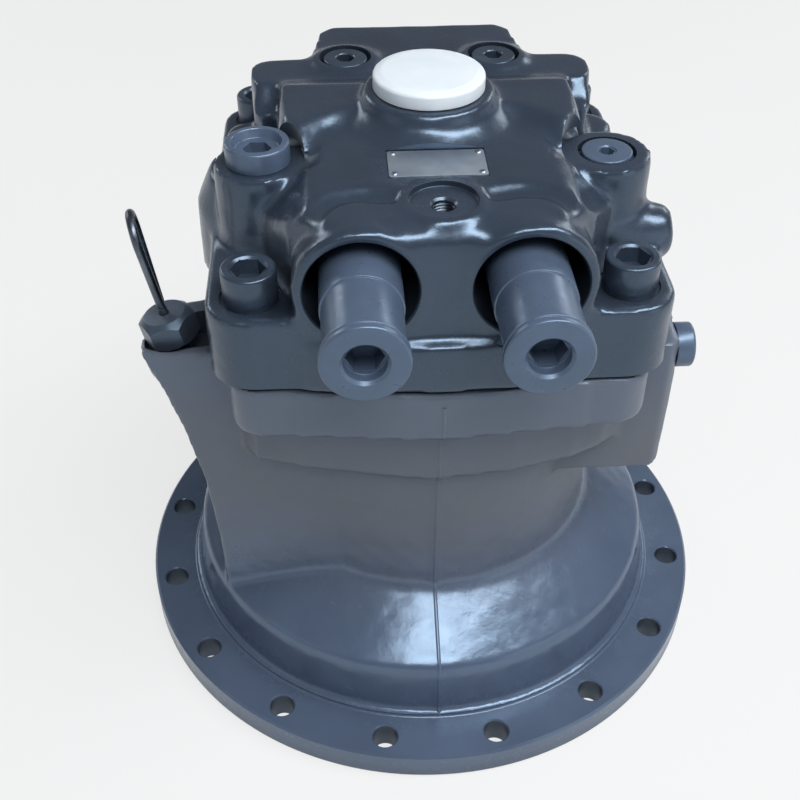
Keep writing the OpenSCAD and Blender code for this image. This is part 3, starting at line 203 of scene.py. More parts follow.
def enamel_on_sand_cast_iron(name, paint, shade, dust, dust_share, grain_depth):
    """Satin machinery enamel over sand-cast iron: glints on the round edges, the sand's grain in between."""
    material, tree, shader, place = start_material(name)
    tone = patches(tree, place, 60, 0.3, 0.7)
    colour = add(tree, "ShaderNodeMix", {0: tone, 6: linear(paint), 7: linear(shade)},
                 data_type="RGBA").outputs[2]
    # A film of dust on the walls, thinner towards the flange, makes them warmer and more matt
    height = add(tree, "ShaderNodeSeparateXYZ", {"Vector": place}).outputs["Z"]
    foot = add(tree, "ShaderNodeMapRange", {
        0: height, 1: DUST_HEIGHTS[0] * MM, 2: DUST_HEIGHTS[1] * MM}).outputs[0]
    collar = add(tree, "ShaderNodeMapRange", {
        0: height, 1: COLLAR_HEIGHTS[0] * MM, 2: COLLAR_HEIGHTS[1] * MM, 3: 1.0, 4: 0.6}).outputs[0]
    cover = patches(tree, place, 26, 0.3, 0.7, 0.85, 1.0, 2.0, 0.5)
    for share in (foot, collar, dust_share):
        cover = add(tree, "ShaderNodeMath", {0: cover, 1: share}, operation="MULTIPLY").outputs[0]
    # Pores of the sand where the paint is thin, drawn a little larger than they are
    pores = patches(tree, place, 1.8, 0.58, 0.76, 0.0, 0.16, 4.0, 0.7)
    # Painted shade in the corners near another wall, from ambient occlusion: the colour turns near-black
    # there and the enamel duller
    openness = add(tree, "ShaderNodeAmbientOcclusion", {"Distance": CORNER_SHADE_WIDTH * MM},
                   samples=8).outputs["AO"]
    painted_corner_shade = add(tree, "ShaderNodeMapRange", {0: openness, 1: 0.3, 2: 0.8, 3: 0.85, 4: 0.0}).outputs[0]
    # Dust, the sand's pores and the painted corner shade are laid over the colour in turn
    for share, tint in ((cover, dust), (pores, "#262c35"), (painted_corner_shade, "#10141a")):
        colour = add(tree, "ShaderNodeMix", {0: share, 6: colour, 7: linear(tint)},
                     data_type="RGBA").outputs[2]
    tree.links.new(colour, shader.inputs["Base Color"])
    dullness = patches(tree, place, 9, 0.3, 0.7, 0.19, 0.27, 4.0)
    for share, added in ((cover, 0.22), (painted_corner_shade, 0.3)):
        dullness = add(tree, "ShaderNodeMath", {0: share, 1: added, 2: dullness},
                       operation="MULTIPLY_ADD").outputs[0]
    tree.links.new(dullness, shader.inputs["Roughness"])
    # Sand grains of about 1 mm, and the paint's own slight waves
    tree.links.new(uneven_skin(tree, [
        (place, 12, 2.0, 0.55, 0.35, 0.22),
        (place, 3.0, 3.0, 0.6, grain_depth, 0.3),
        (place, 1.1, 2.0, 0.6, grain_depth * 0.5, 0.32),
    ]), shader.inputs["Normal"])
    give_enamel_gloss(shader)
    return material


def enamel_on_turned_steel(name, paint, gloss_low=0.26, gloss_high=0.38):
    """The same enamel over turned steel: smoother, so its glints are longer and more even."""
    material, tree, shader, place = start_material(name)
    two_tone(tree, shader, patches(tree, place, 18, 0.35, 0.65, 0.0, 0.5), paint, "#404b5b")
    tree.links.new(patches(tree, place, 6, 0.3, 0.7, gloss_low, gloss_high, 4.0), shader.inputs["Roughness"])
    tree.links.new(uneven_skin(tree, [
        (place, 5, 2.0, 0.55, 0.12, 0.3),
        (place, 1.0, 2.0, 0.55, 0.02, 0.12),
    ]), shader.inputs["Normal"])
    give_enamel_gloss(shader)
    return material


def bare_metal(name, colour, tint, roughness, lay_mm, lay_axis="Z", depth=0.02):
    """Bare metal with the lay of its cutting or grinding across one axis, drawn coarse enough to show."""
    material, tree, shader, place = start_material(name)
    parts = add(tree, "ShaderNodeSeparateXYZ", {"Vector": place})
    squeezed = add(tree, "ShaderNodeCombineXYZ")
    for axis in "XYZ":
        stretch = 1.0 if axis == lay_axis else 0.06
        scaled = add(tree, "ShaderNodeMath", {0: parts.outputs[axis], 1: stretch}, operation="MULTIPLY")
        tree.links.new(scaled.outputs[0], squeezed.inputs[axis])
    lay = squeezed.outputs[0]
    two_tone(tree, shader, patches(tree, place, 16, 0.35, 0.68), colour, tint)
    dullness = patches(tree, lay, lay_mm, 0.3, 0.7, roughness - 0.06, roughness + 0.08, 3.0, 0.6)
    tree.links.new(dullness, shader.inputs["Roughness"])
    tree.links.new(uneven_skin(tree, [
        (lay, lay_mm, 3.0, 0.6, depth, 0.4),
        (place, 16, 3.0, 0.55, 0.05, 0.12),
    ]), shader.inputs["Normal"])
    shader.inputs["Metallic"].default_value = 1.0
    return material


def moulded_polyethylene(name):
    """Milk-white polyethylene, injection moulded: light sinks in a little and the skin is waxy."""
    material, tree, shader, place = start_material(name)
    two_tone(tree, shader, patches(tree, place, 22, 0.3, 0.7), "#cfd9e0", "#d7dfe5")
    tree.links.new(patches(tree, place, 7, 0.3, 0.7, 0.3, 0.44, 4.0), shader.inputs["Roughness"])
    tree.links.new(uneven_skin(tree, [
        (place, 9, 2.0, 0.55, 0.25, 0.25),
        (place, 1.2, 3.0, 0.55, 0.05, 0.25),
    ]), shader.inputs["Normal"])
    shader.inputs["Subsurface Weight"].default_value = 0.25
    shader.inputs["Subsurface Radius"].default_value = (0.004, 0.005, 0.006)
    shader.inputs["Subsurface Scale"].default_value = 1.0
    shader.inputs["IOR"].default_value = 1.51
    return material


def matt_moulding(name, colour, tint, roughness, grain_mm, depth):
    """Rubber or pressed fibre: matt, with the fine grain of its mould or fibres."""
    material, tree, shader, place = start_material(name)
    two_tone(tree, shader, patches(tree, place, grain_mm, 0.35, 0.65, 0.0, 1.0, 4.0, 0.65), colour, tint)
    dullness = patches(tree, place, grain_mm, 0.3, 0.7, roughness - 0.05, roughness + 0.08, 4.0, 0.65)
    tree.links.new(dullness, shader.inputs["Roughness"])
    tree.links.new(uneven_skin(tree, [(place, grain_mm, 4.0, 0.65, depth, 0.4)]), shader.inputs["Normal"])
    shader.inputs["IOR"].default_value = 1.5
    return material


# Valve casing: dark blue-grey enamel with hardly any dust, so that it glints the most
valve_casting = enamel_on_sand_cast_iron(
    "enamel_on_valve_casting", "#252d39", "#2d3644", "#333a45", 0.2, 0.22)
# Casing: the enamel is lighter and clean on flange and cone, grey and dull under dust above them
casing_casting = enamel_on_sand_cast_iron(
    "enamel_on_casing_casting", "#465266", "#4e5b70", "#5c5b5d", 0.92, 0.22)
# Turned valves and plugs: smooth enamel with long soft glints
turned_enamel = enamel_on_turned_steel("enamel_on_turned_steel", "#4a586d")
# Casing screws and make-up valve plugs: the same enamel, darker
screw_enamel = enamel_on_turned_steel("enamel_on_screw_steel", "#262e39", 0.26, 0.36)
# Dipstick hexagon: dark and a little duller, as its flats were handled
fitting_enamel = enamel_on_turned_steel("enamel_on_hexagon_steel", "#333b46", 0.3, 0.42)
# Transport cap: milk white and waxy
cap_plastic = moulded_polyethylene("moulded_polyethylene")
# Name plate: pale aluminium whose sheen is drawn out along the brushing
plate_metal = bare_metal("brushed_aluminium_plate", "#b9c6d6", "#cfd9e4", 0.46, 0.5, "Y", 0.03)
# Rivets: the same metal, pressed smooth and a little darker
rivet_metal = bare_metal("formed_aluminium_rivet", "#8e99a8", "#a5aebb", 0.38, 1.0)
# Dipstick loop: dark drawn wire with narrow glints
wire_metal = bare_metal("drawn_spring_wire", "#4d545e", "#6a727d", 0.36, 1.2)
# Inner pieces: turned steel shows its tool marks, ground steel is brighter and mirrors more
turned_steel = bare_metal("turned_steel", "#8b9096", "#9aa0a6", 0.34, 0.6)
ground_steel = bare_metal("ground_steel", "#a3a8ad", "#b2b6ba", 0.2, 0.35)
# Springs are dark from their heat treatment, and the block's iron is greyer than steel
spring_steel = bare_metal("coiled_spring_steel", "#5d6269", "#747a82", 0.4, 1.4)
block_iron = bare_metal("machined_ductile_iron", "#6f7378", "#7f8489", 0.42, 0.8)
# Bronze of the piston shoes is brown-yellow and softly bright
bronze = bare_metal("cast_bearing_bronze", "#9a7b45", "#ab8a50", 0.36, 0.7)
# Thread in the lifting hole: dark cut iron
thread_metal = bare_metal("tapped_iron_thread", "#3d4550", "#59626e", 0.4, 0.9)
# Brake lining and seals: matt brown fibre and matt black rubber
friction_paper = matt_moulding("pressed_friction_paper", "#5d4c38", "#75624b", 0.8, 0.6, 0.1)
nitrile_rubber = matt_moulding("moulded_nitrile_rubber", "#1c1d20", "#26272b", 0.55, 0.8, 0.04)


# Shaping tools

def on_circle(radius, k, steps, z=0.0):
    """Point k of so many on a circle about the Z axis."""
    angle = 2 * math.pi * k / steps
    return Vector((radius * math.cos(angle), radius * math.sin(angle), z))


def rounded(points):
    """A profile in millimetres: a corner given as (r, z, fillet) is rounded off by that radius."""
    made = []
    count = len(points)
    for i, point in enumerate(points):
        here = Vector(point[:2])
        fillet = point[2] if len(point) > 2 else 0
        before, after = Vector(points[i - 1][:2]), Vector(points[(i + 1) % count][:2])
        to_before, to_after = (before - here), (after - here)
        if fillet == 0 or to_before.length == 0 or to_after.length == 0:
            made.append(here)
            continue
        angle = to_before.angle(to_after)
        longest = FILLET_SHARE * min(to_before.length, to_after.length)
        reach = min(fillet / math.tan(angle / 2), longest)
        radius = reach * math.tan(angle / 2)
        halfway = (to_before.normalized() + to_after.normalized()).normalized()
        middle = here + halfway * radius / math.sin(angle / 2)
        first = here + to_before.normalized() * reach - middle
        last = here + to_after.normalized() * reach - middle
        for k in range(FILLET_STEPS + 1):
            mixed = first.lerp(last, k / FILLET_STEPS)
            made.append(middle + mixed.normalized() * radius)
    return made


def turn(shape, points, place=None, steps=96):
    """Turns a closed profile round the Z axis into the mesh, then moves it to its place."""
    place = place or Matrix.Identity(4)
    profile = rounded(points)
    rings = []
    for p in profile:
        if p.x < 1e-6:
            rings.append([shape.verts.new(place @ Vector((0, 0, p.y)))])
            continue
        rings.append([shape.verts.new(place @ on_circle(p.x, k, steps, p.y)) for k in range(steps)])
    for i, ring in enumerate(rings):
        other = rings[(i + 1) % len(rings)]
        for k in range(steps):
            n = (k + 1) % steps
            corners = [ring[k % len(ring)], ring[n % len(ring)], other[n % len(other)], other[k % len(other)]]
            corners = list(dict.fromkeys(corners))
            if len(corners) > 2:
                shape.faces.new(corners)


def swell(shape, lower, low, upper, high, place=None):
    """A body between a lower outline of (x, y) points and an upper outline of as many points."""
    place = place or Matrix.Identity(4)
    bottom = [shape.verts.new(place @ Vector((x, y, low))) for x, y in lower]
    top = [shape.verts.new(place @ Vector((x, y, high))) for x, y in upper]
    shape.faces.new(bottom[::-1])
    shape.faces.new(top)
    for i in range(len(lower)):
        n = (i + 1) % len(lower)
        shape.faces.new([bottom[i], bottom[n], top[n], top[i]])


def prism(shape, outline, low, high, place=None):
    """A prism between two heights over a flat outline of (x, y) points."""
    swell(shape, outline, low, outline, high, place)


def skin_rows(shape, rows, round_row=True, round_all=False):
    """Faces between neighbouring rows of as many points; a round row closes on itself."""
    count = len(rows[0])
    following = rows[1:] + rows[:1] if round_all else rows[1:]
    for first, second in zip(rows, following):
        for k in range(count if round_row else count - 1):
            n = (k + 1) % count
            shape.faces.new([first[k], first[n], second[n], second[k]])


def hexagon(across_flats):
    corner_r = across_flats / math.sqrt(3)
    return [(corner_r * math.cos(math.radians(60 * k)), corner_r * math.sin(math.radians(60 * k)))
            for k in range(6)]


def round_cornered(half_x, half_y, radius, centre=(0, 0)):
    """Outline of a rectangle with round corners."""
    outline = []
    for quarter, (sx, sy) in enumerate([(1, 1), (-1, 1), (-1, -1), (1, -1)]):
        for k in range(9):
            a = math.radians(90 * quarter + 90 * k / 8)
            outline.append((centre[0] + sx * (half_x - radius) + radius * math.cos(a),
                            centre[1] + sy * (half_y - radius) + radius * math.sin(a)))
    return outline


def moved(x=0, y=0, z=0):
    return Matrix.Translation((x, y, z))


def facing(origin, direction):
    """A place whose Z axis points along the direction."""
    turning = Vector((0, 0, 1)).rotation_difference(Vector(direction))
    return Matrix.Translation(origin) @ turning.to_matrix().to_4x4()


def both(x):
    return (-x, x)


def mirrored(points, side):
    return [(side * x, *rest) for x, *rest in points]


def turned(profile, places, steps=96):
    """A drawing of one turned shape at each of the places."""
    def draw(shape):
        for place in places:
            turn(shape, profile, place, steps)
    return draw


def hexagons(across_flats, low, high, places):
    """A drawing of one hexagonal prism at each of the places."""
    def draw(shape):
        for place in places:
            prism(shape, hexagon(across_flats), low, high, place)
    return draw


def as_object(name, shape):
    """Brings a finished shape, in metres, into the scene."""
    mesh = bpy.data.meshes.new(name)
    shape.to_mesh(mesh)
    shape.free()
    made = bpy.data.objects.new(name, mesh)
    bpy.context.scene.collection.objects.link(made)
    return made


def solid(name, drawings):
    """An object in metres from shapes that are drawn in millimetres."""
    shape = bmesh.new()
    for draw in drawings:
        draw(shape)
    bmesh.ops.recalc_face_normals(shape, faces=shape.faces)
    bmesh.ops.scale(shape, vec=(MM, MM, MM), verts=shape.verts)
    return as_object(name, shape)


def wire(name, path, radius, sides=16):
    """A round wire along a line of points in metres."""
    shape = bmesh.new()
    rings = []
    side = None
    for i, point in enumerate(path):
        ahead = (path[min(i + 1, len(path) - 1)] - path[max(i - 1, 0)]).normalized()
        side = (side - ahead * side.dot(ahead)).normalized() if side else ahead.orthogonal().normalized()
        other = ahead.cross(side)
        rings.append([shape.verts.new(point + (side * math.cos(2 * math.pi * k / sides)
                                               + other * math.sin(2 * math.pi * k / sides)) * radius)
                      for k in range(sides)])
    skin_rows(shape, rings)
    shape.faces.new(rings[0][::-1])
    shape.faces.new(rings[-1])
    bmesh.ops.recalc_face_normals(shape, faces=shape.faces)
    return as_object(name, shape)


def settle(piece):
    """Turns the piece's modifiers into its mesh."""
    graph = bpy.context.evaluated_depsgraph_get()
    mesh = bpy.data.meshes.new_from_object(piece.evaluated_get(graph))
    piece.modifiers.clear()
    piece.data = mesh


def combine(piece, tool, how):
    """Cuts the tool from the piece, joins it on or keeps what both share."""
    work = piece.modifiers.new(how, "BOOLEAN")
    work.operation = how
    work.solver = "MANIFOLD"
    work.object = tool
    settle(piece)
    bpy.data.objects.remove(tool)


def cut(piece, *drawings):
    """Cuts drawn shapes, which don't overlap each other, from the piece."""
    combine(piece, solid("cut", drawings), "DIFFERENCE")


def finish_piece(piece, material, body, stands_for=(), crease=32):
    """Shades the piece smooth between its sharp edges, paints it and seats it on its body."""
    mesh = piece.data
    mesh.materials.clear()
    mesh.materials.append(material)
    mesh.shade_smooth()
    mesh.set_sharp_from_angle(angle=math.radians(crease))
    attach(piece, body)
    if stands_for:
        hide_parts(*stands_for)


# Places that several pieces share

lean = math.radians(DIPSTICK_LEAN)
dipstick_place = facing(DIPSTICK_SEAT, (-math.sin(lean), 0, math.cos(lean)))
drain_place = facing((0, DRAIN[1], DRAIN[2]), (1, 0, 0))
left_boss = moved(-SIDE_BOSS[0], SIDE_BOSS[1])
right_boss = moved(SIDE_BOSS[0], SIDE_BOSS[1])
relief_places = [facing((x, 0, RELIEF_Z), (0, -1, 0)) for x in both(RELIEF_X)]
main_port_places = [facing((x, 0, MAIN_PORT[1]), (0, 1, 0)) for x in both(MAIN_PORT[0])]
makeup_places = [moved(x, MAKEUP[1]) for x in both(MAKEUP[0])]
screw_places = [moved(x, y) for x in both(SCREW_XY) for y in both(SCREW_XY)]
flange_places = [Matrix.Rotation(math.radians(-90 + (k + 0.5) * 360 / HOLES), 4, "Z") @ moved(PITCH_R)
                 for k in range(HOLES)]


# The two castings: cast skin softened first, machined faces cut crisp afterwards

def wrap_in_skin(piece):
    skin = piece.modifiers.new("skin", "REMESH")
    skin.mode = "VOXEL"
    skin.voxel_size = SKIN_GRID * MM


def soften(node, stock, hollows, rounds):
    """A copy of the solid, its bores filled, stock added, hollows taken out and cast edges rounded off."""
    raw = solid("cast_" + node, stock)
    shape = bmesh.new()
    shape.from_mesh(raw.data)
    shape.from_mesh(frame["nodes"][node].data)
    shape.to_mesh(raw.data)
    shape.free()
    wrap_in_skin(raw)
    if hollows:
        settle(raw)
        for hollow in hollows:
            combine(raw, hollow, "DIFFERENCE")
        wrap_in_skin(raw)
    smooth = raw.modifiers.new("round", "SMOOTH")
    smooth.factor = 0.5
    smooth.iterations = rounds
    sand = bpy.data.textures.new(raw.name + "_sand", "CLOUDS")
    sand.noise_scale = MOULD_WAVE_WIDTH * MM
    uneven = raw.modifiers.new("uneven", "DISPLACE")
    uneven.texture = sand
    uneven.strength = MOULD_WAVE_HEIGHT * MM
    uneven.mid_level = 0.5
    uneven.texture_coords = "GLOBAL"
    settle(raw)
    return raw


# Valve casing: what is added to the solid, hollowed out of it and machined into it

def relief_shoulders(shape):
    """Full shoulders outside the relief housings."""
    outline = [(50, 330), (82, 330), (81, 345), (77, 357), (71, 364), (64, TOP_Z), (50, TOP_Z)]
    for side in (-1, 1):
        prism(shape, mirrored(outline, side), 56, 101, facing((0, 0, 0), (0, -1, 0)))


def port_boss_pads(shape):
    """Sloping pads on both sides of the port boss, and the ends of the bar behind them."""
    pad_foot = [(34, -17), (54, -22), (65, -32), (73, -42), (86, -28), (88, 0), (88, 52), (34, 52)]
    pad_top = [(34, -4), (52, -8), (65, -18), (74, -27), (82, -16), (84, 2), (84, 24), (34, 24)]
    pad_core = [(34, 0), (86, 0), (86, 44), (34, 44)]
    bar_foot = [(84, 30), (103, 30), (103, 60), (84, 60)]
    bar_top = [(84, 44), (101, 44), (101, 60), (84, 60)]
    for side in (-1, 1):
        swell(shape, mirrored(pad_foot, side), 364, mirrored(pad_top, side), 374)
        prism(shape, mirrored(pad_core, side), 340, 365)
        swell(shape, mirrored(bar_foot, side), 351, mirrored(bar_top, side), 365.5)


def boss_rims(shape):
    """Fuller foot of the make-up bosses, rim of the lifting boss, skirt of the port boss, left lobe."""
    turned([(0, 350), (28, 350), (28, 362.5), (19, 370.5), (0, 370.5)], makeup_places)(shape)
    turn(shape, [(0, 350), (22, 350), (22, 368), (0, 368)], moved(0, LIFTING_Y))
    turn(shape, [(0, 350), (56, 350), (52, TOP_Z - 0.5), (39.5, 374), (38, 379), (0, 379)])
    turn(shape, [(0, 282), (43.5, 282), (43, 322), (34, 342), (0, 342)], moved(-93, -12))


def valve_casing_hollows():
    """The dip that sets each relief housing off from the flat top, and the pits beside the pads."""
    route = [(23, -94, 371), (30, -91.5, 370), (38, -90, 370), (46, -90, 370.5), (55, -93, 371),
             (62, -99, 371), (67, -107, 371), (70, -116, 371)]
    dips = [wire("dip", [Vector(p) * MM for p in mirrored(route, side)], 9 * MM, 24) for side in (-1, 1)]
    pits = solid("pits", [
        lambda shape: prism(shape, [(-124, -14), (-86, -14), (-86, 27), (-124, 27)], 326, 390),
        lambda shape: prism(shape, [(88, -14), (100, -14), (100, 26), (88, 26)], 328, 390)])
    return dips + [pits]


def valve_casing_stock(shape):
    """Filler for the bores, and a deeper slab whose lower edge is cut away again."""
    prism(shape, round_cornered(127.4, 127.4, 25, (0, -0.5)), JOINT_Z - 6, JOINT_Z + 36)
    turn(shape, [(0, 262), (60, 262), (60, 340), (0, 340)])
    turned([(0, 20), (31.5, 20), (31.5, 129.4), (0, 129.4)], relief_places)(shape)
    turned([(0, 262), (20, 262), (20, 312.6), (0, 312.6)], screw_places)(shape)
    turned([(0, 300), (17.5, 300), (17.5, 366), (0, 366)], makeup_places)(shape)
    turned([(0, -60), (25.5, -60), (25.5, 126.9), (0, 126.9)], main_port_places)(shape)
    turn(shape, [(0, 320), (PORT_R + 2, 320), (PORT_R + 2, PORT_Z), (0, PORT_Z)])
    turn(shape, [(0, 325), (21, 325), (21, TOP_Z), (0, TOP_Z)], moved(0, LIFTING_Y))
    turned([(0, 320), (24, 320), (24, SIDE_BOSS[2]), (0, SIDE_BOSS[2])], [left_boss, right_boss])(shape)
    prism(shape, [(-28, -76), (28, -76), (28, -44), (-28, -44)], 340, TOP_Z)


def joint_face_cut(shape):
    """The milled joint face and the pocket of the upper bearing."""
    turn(shape, [(0, 200), (230, 200), (230, JOINT_Z), (36, JOINT_Z), (36, 294), (0, 294)])


def joint_groove():
    """The slab's lower edge steps back a little, so that the joint shows as a dark line."""
    groove = solid("groove", [
        lambda shape: prism(shape, round_cornered(140, 140, 36), JOINT_Z - 6, JOINT_Z + 1.7)])
    core_outline = round_cornered(125, 125, 22.5, (0, -0.5))
    core = solid("core", [lambda shape: prism(shape, core_outline, JOINT_Z - 20, JOINT_Z + 20)])
    combine(groove, core, "DIFFERENCE")
    return groove


def valve_casing_cuts(shape):
    """Everything that is drilled, spot faced or tapped in the valve casing."""
    turned([(0, 50), (20.05, 50), (20.05, 64, 0.6), (30, 64, 1.5), (30, 129, 1), (31.2, 130.2), (37, 133),
            (37, 145), (0, 145)], relief_places)(shape)
    turned([(0, 262), (10.75, 262), (10.75, LUG_SEAT_Z), (17, LUG_SEAT_Z, 0.5), (17, 400), (0, 400)],
           screw_places)(shape)
    turned([(0, 350), (11.55, 350), (11.55, 364), (16, 364, 0.4), (16, 390), (0, 390)],
           makeup_places)(shape)
    turned([(0, -40), (12, -40), (12, 105), (15.15, 105), (15.15, 125), (16.4, 126), (24, 126), (24, 140),
            (0, 140)], main_port_places)(shape)
    turn(shape, [(0, 348), (PORT_R, 348), (PORT_R, PORT_Z - 1), (PORT_R + 1, PORT_Z), (60, PORT_Z),
                 (60, 400), (0, 400)])
    turn(shape, [(0, 340), (6.2, 340), (6.2, 363.6), (7.4, 364.8), (18.5, 364.8, 0.5), (18.5, 385), (0, 385)],
         moved(0, LIFTING_Y))
    turn(shape, [(0, 336), (15, 336), (15, 360), (25.6, 360), (25.6, 380), (0, 380)], left_boss)
    turn(shape, [(0, 340), (16.5, 340), (16.5, 360), (25.6, 360), (25.6, 380), (0, 380)], right_boss)
    prism(shape, [(-27, -75), (27, -75), (27, -45), (-27, -45)], PLATE_CENTRE[2], 380)


cast_valve_casing = soften(
    "valve_casing", [valve_casing_stock, relief_shoulders, port_boss_pads, boss_rims],
    valve_casing_hollows(), 13)
cut(cast_valve_casing, joint_face_cut)
combine(cast_valve_casing, joint_groove(), "DIFFERENCE")
cut(cast_valve_casing, valve_casing_cuts)
finish_piece(cast_valve_casing, valve_casting, "root", ["valve_casing"])


# Casing: flange, bell, cone, barrel, collar, dipstick wing and drain block

def casing_stock(shape):
    """Filler for the bores, and a wider flange and higher collar that are cut back again."""
    turn(shape, [(0, 50), (160, 50), (160.5, 59), (119.5, 86.5), (114, 93), (0, 93)])
    turn(shape, [(0, -6), (FLANGE_R + 8, -6), (FLANGE_R + 8, FLANGE_T + 2), (150, FLANGE_T + 2), (150, 34),
                 (112, 60), (112, JOINT_Z + 5), (0, JOINT_Z + 5)])
    turned([(0, 230), (12.5, 230), (12.5, 266), (0, 266)], screw_places)(shape)
    turn(shape, [(0, -225), (9.5, -225), (9.5, -20), (21, -20), (21, 0.5), (0, 0.5)], dipstick_place)
    turn(shape, [(0, 80), (10, 80), (10, 144), (0, 144)], drain_place)


def casing_turning(shape):
    """Turned flange, bell, coaxial bores and joint face of the casing."""
    turn(shape, [
        (0, -12), (230, -12), (230, 40), (168.5, 40), (168.5, FLANGE_T, 2), (FLANGE_R - 1.5, FLANGE_T),
        (FLANGE_R - 0.07, FLANGE_T - 1.5), (FLANGE_R - 0.07, 1.5), (FLANGE_R - 1.5, 0), (148, 0),
        (148, 34, 3), (142, 40), (108, 50, 5), (66, 50, 4), (66, 40), (42, 40), (42, 43), (44, 43),
        (44, 45.4), (42, 45.4), (42, 59), (33, 59), (33, 66), (52, 66), (52, 104), (80.1, 104),
        (80.1, 182), (95.5, 182), (95.5, 227), (104, 227), (104, JOINT_Z), (230, JOINT_Z), (230, 300),
        (0, 300)], steps=192)


def casing_drilling(shape):
    """Flange bolt holes, tapped screw holes, and the holes of the dipstick and the drain plug."""
    turned([(0, -5), (HOLE_R, -5), (HOLE_R, FLANGE_T - 0.9), (HOLE_R + 0.9, FLANGE_T), (HOLE_R + 0.9, 30),
            (0, 30)], flange_places, 48)(shape)
    turned([(0, 235.5), (10.05, 235.5), (10.05, 280), (0, 280)], screw_places, 48)(shape)
    turn(shape, [(0, -230), (6, -230), (6, -14), (8.1, -14), (8.1, 0), (13.4, 0), (13.4, -6), (18.4, -6),
                 (18.4, 40), (0, 40)], dipstick_place)
    turn(shape, [(0, 95.5), (8.1, 95.5), (8.1, 144.2), (15.5, 144.2, 0.6), (15.5, 155), (0, 155)],
         drain_place, 48)


def wing_recess(shape):
    """The pocket in the wing's top between the hexagon and the collar."""
    prism(shape, round_cornered(9.5, 18, 5, (-139.6, -58)), 243, 300)


cast_casing = soften("casing", [casing_stock], [], 7)
cut(cast_casing, casing_turning)
cut(cast_casing, casing_drilling)
cut(cast_casing, wing_recess)
finish_piece(cast_casing, casing_casting, "root", ["casing"])


# Thin flash that the mould's parting line leaves down the front of the casing

def parting_flash():
    skin = BVHTree.FromObject(cast_casing, bpy.context.evaluated_depsgraph_get())
    shape = bmesh.new()
    ridge = ((-1.6, -0.4), (-0.9, 0.35), (0, 0.7), (0.9, 0.35), (1.6, -0.4))
    rows = []
    low, high, step = 21, 262, 2.0
    for k in range(int((high - low) / step)):
        z = (low + k * step) * MM
        row = []
        for x, proud in ridge:
            hit, normal, _, _ = skin.ray_cast(Vector((x * MM, -0.3, z)), Vector((0, 1, 0)))
            if hit is not None:
                row.append(hit + Vector((0, normal.y, normal.z)).normalized() * proud * MM)
        if len(row) == len(ridge):
            rows.append([shape.verts.new(p) for p in row])
    skin_rows(shape, rows, round_row=False)
    bmesh.ops.recalc_face_normals(shape, faces=shape.faces)
    return as_object("parting_flash", shape)


finish_piece(parting_flash(), casing_casting, "root", crease=60)


# Turned valves, screws and plugs

for side, place in zip(("left", "right"), relief_places):
    valve = solid("turned_relief_valve_" + side, [turned([
        (0, 62), (19, 62), (20, 63), (20, 92), (21.8, 94), (21.8, 145.6, 0.9), (20.9, 145.8, 0.2),
        (20.9, 181), (21.9, 181.5, 0.3), (22.5, 182.2, 0.5), (22.5, 184, 0.5), (21.5, 184.6, 0.3),
        (22.5, 185.2, 0.5), (22.5, RELIEF_FRONT, 1.4), (0, RELIEF_FRONT)], [place])])
    cut(valve, turned([(0, 182), (10.8, 182, 0.4), (10.8, 187.4), (12.4, RELIEF_FRONT), (12.4, 195),
                       (0, 195)], [place]))
    # The key hole and, behind it, the chamber of the poppet and its spring
    cut(valve, hexagons(17, 171, 182.5, [place]),
        turned([(0, 40), (13, 40), (13, 150), (0, 156)], [place]))
    finish_piece(valve, turned_enamel, "root", ["relief_valve_" + side])


def keyed(name, places, profile, mouth, key_af, key_low, key_high):
    """Turned pieces with a turned mouth and a hexagon key hole below it."""
    made = solid(name, [turned(profile, places)])
    cut(made, turned(mouth, places))
    cut(made, hexagons(key_af, key_low, key_high, places))
    return made


finish_piece(keyed(
    "socket_head_screws", [place @ moved(z=LUG_SEAT_Z) for place in screw_places],
    [(0, -74), (SCREW_R - 1, -74), (SCREW_R, -73), (SCREW_R, 0), (HEAD_R - 0.2, 0), (HEAD_R, 0.6),
     (HEAD_R, HEAD_H, 1.6), (0, HEAD_H)],
    [(0, HEAD_H - 1.2), (SCREW_R - 0.6, HEAD_H - 1.2), (SCREW_R + 0.6, HEAD_H), (SCREW_R + 0.6, 25),
     (0, 25)],
    1.7 * SCREW_R, HEAD_H - 10, HEAD_H - 0.5),
    screw_enamel, "root", ["casing_bolts"])

finish_piece(keyed(
    "make_up_valve_plugs", [moved(x, MAKEUP[1], TOP_Z - 2) for x in both(MAKEUP[0])],
    [(0, -12), (11.5, -12), (11.5, 0), (13.5, 0), (13.5, 5.5, 1), (0, 5.5)],
    [(0, 5), (5.8, 5), (6.6, 5.8), (6.6, 8), (0, 8)], 10, -4, 8),
    screw_enamel, "root", ["makeup_plugs"])

finish_piece(keyed(
    "reaction_valve_plug_turned", [left_boss @ moved(z=SIDE_BOSS[2])],
    [(0, -18), (14.95, -18), (14.95, 0), (18, 0, 0.4), (18, 12, 1.6), (0, 12)],
    [(0, 7), (12, 7, 0.8), (13.8, 11.6, 0.6), (15, 13), (0, 13)], 14, -3, 7.5),
    turned_enamel, "root", ["reaction_valve_plug"])

finish_piece(keyed(
    "passage_plug_turned", [right_boss @ moved(z=SIDE_BOSS[2])],
    [(0, -19.9), (13, -19.9), (13, -10), (16.4, -9), (16.4, -5), (14.3, -5), (14.3, 0.4, 0.9), (0, 0.4)],
    [(0, -0.4), (4.8, -0.4), (5.6, 0.6), (5.6, 2), (0, 2)], 8, -7, 2),
    turned_enamel, "root", ["passage_plug"])

finish_piece(keyed(
    "drain_plug_turned", [facing(DRAIN, (1, 0, 0))],
    [(0, -14), (8, -14), (8, 1), (13.5, 1, 0.4), (13.5, 12, 1.8), (0, 12)],
    [(0, 11), (5.8, 11), (6.8, 12.2), (6.8, 14), (0, 14)], 10, 6, 11.6),
    turned_enamel, "root", ["drain_plug"])


# Thread that shows inside the lifting hole

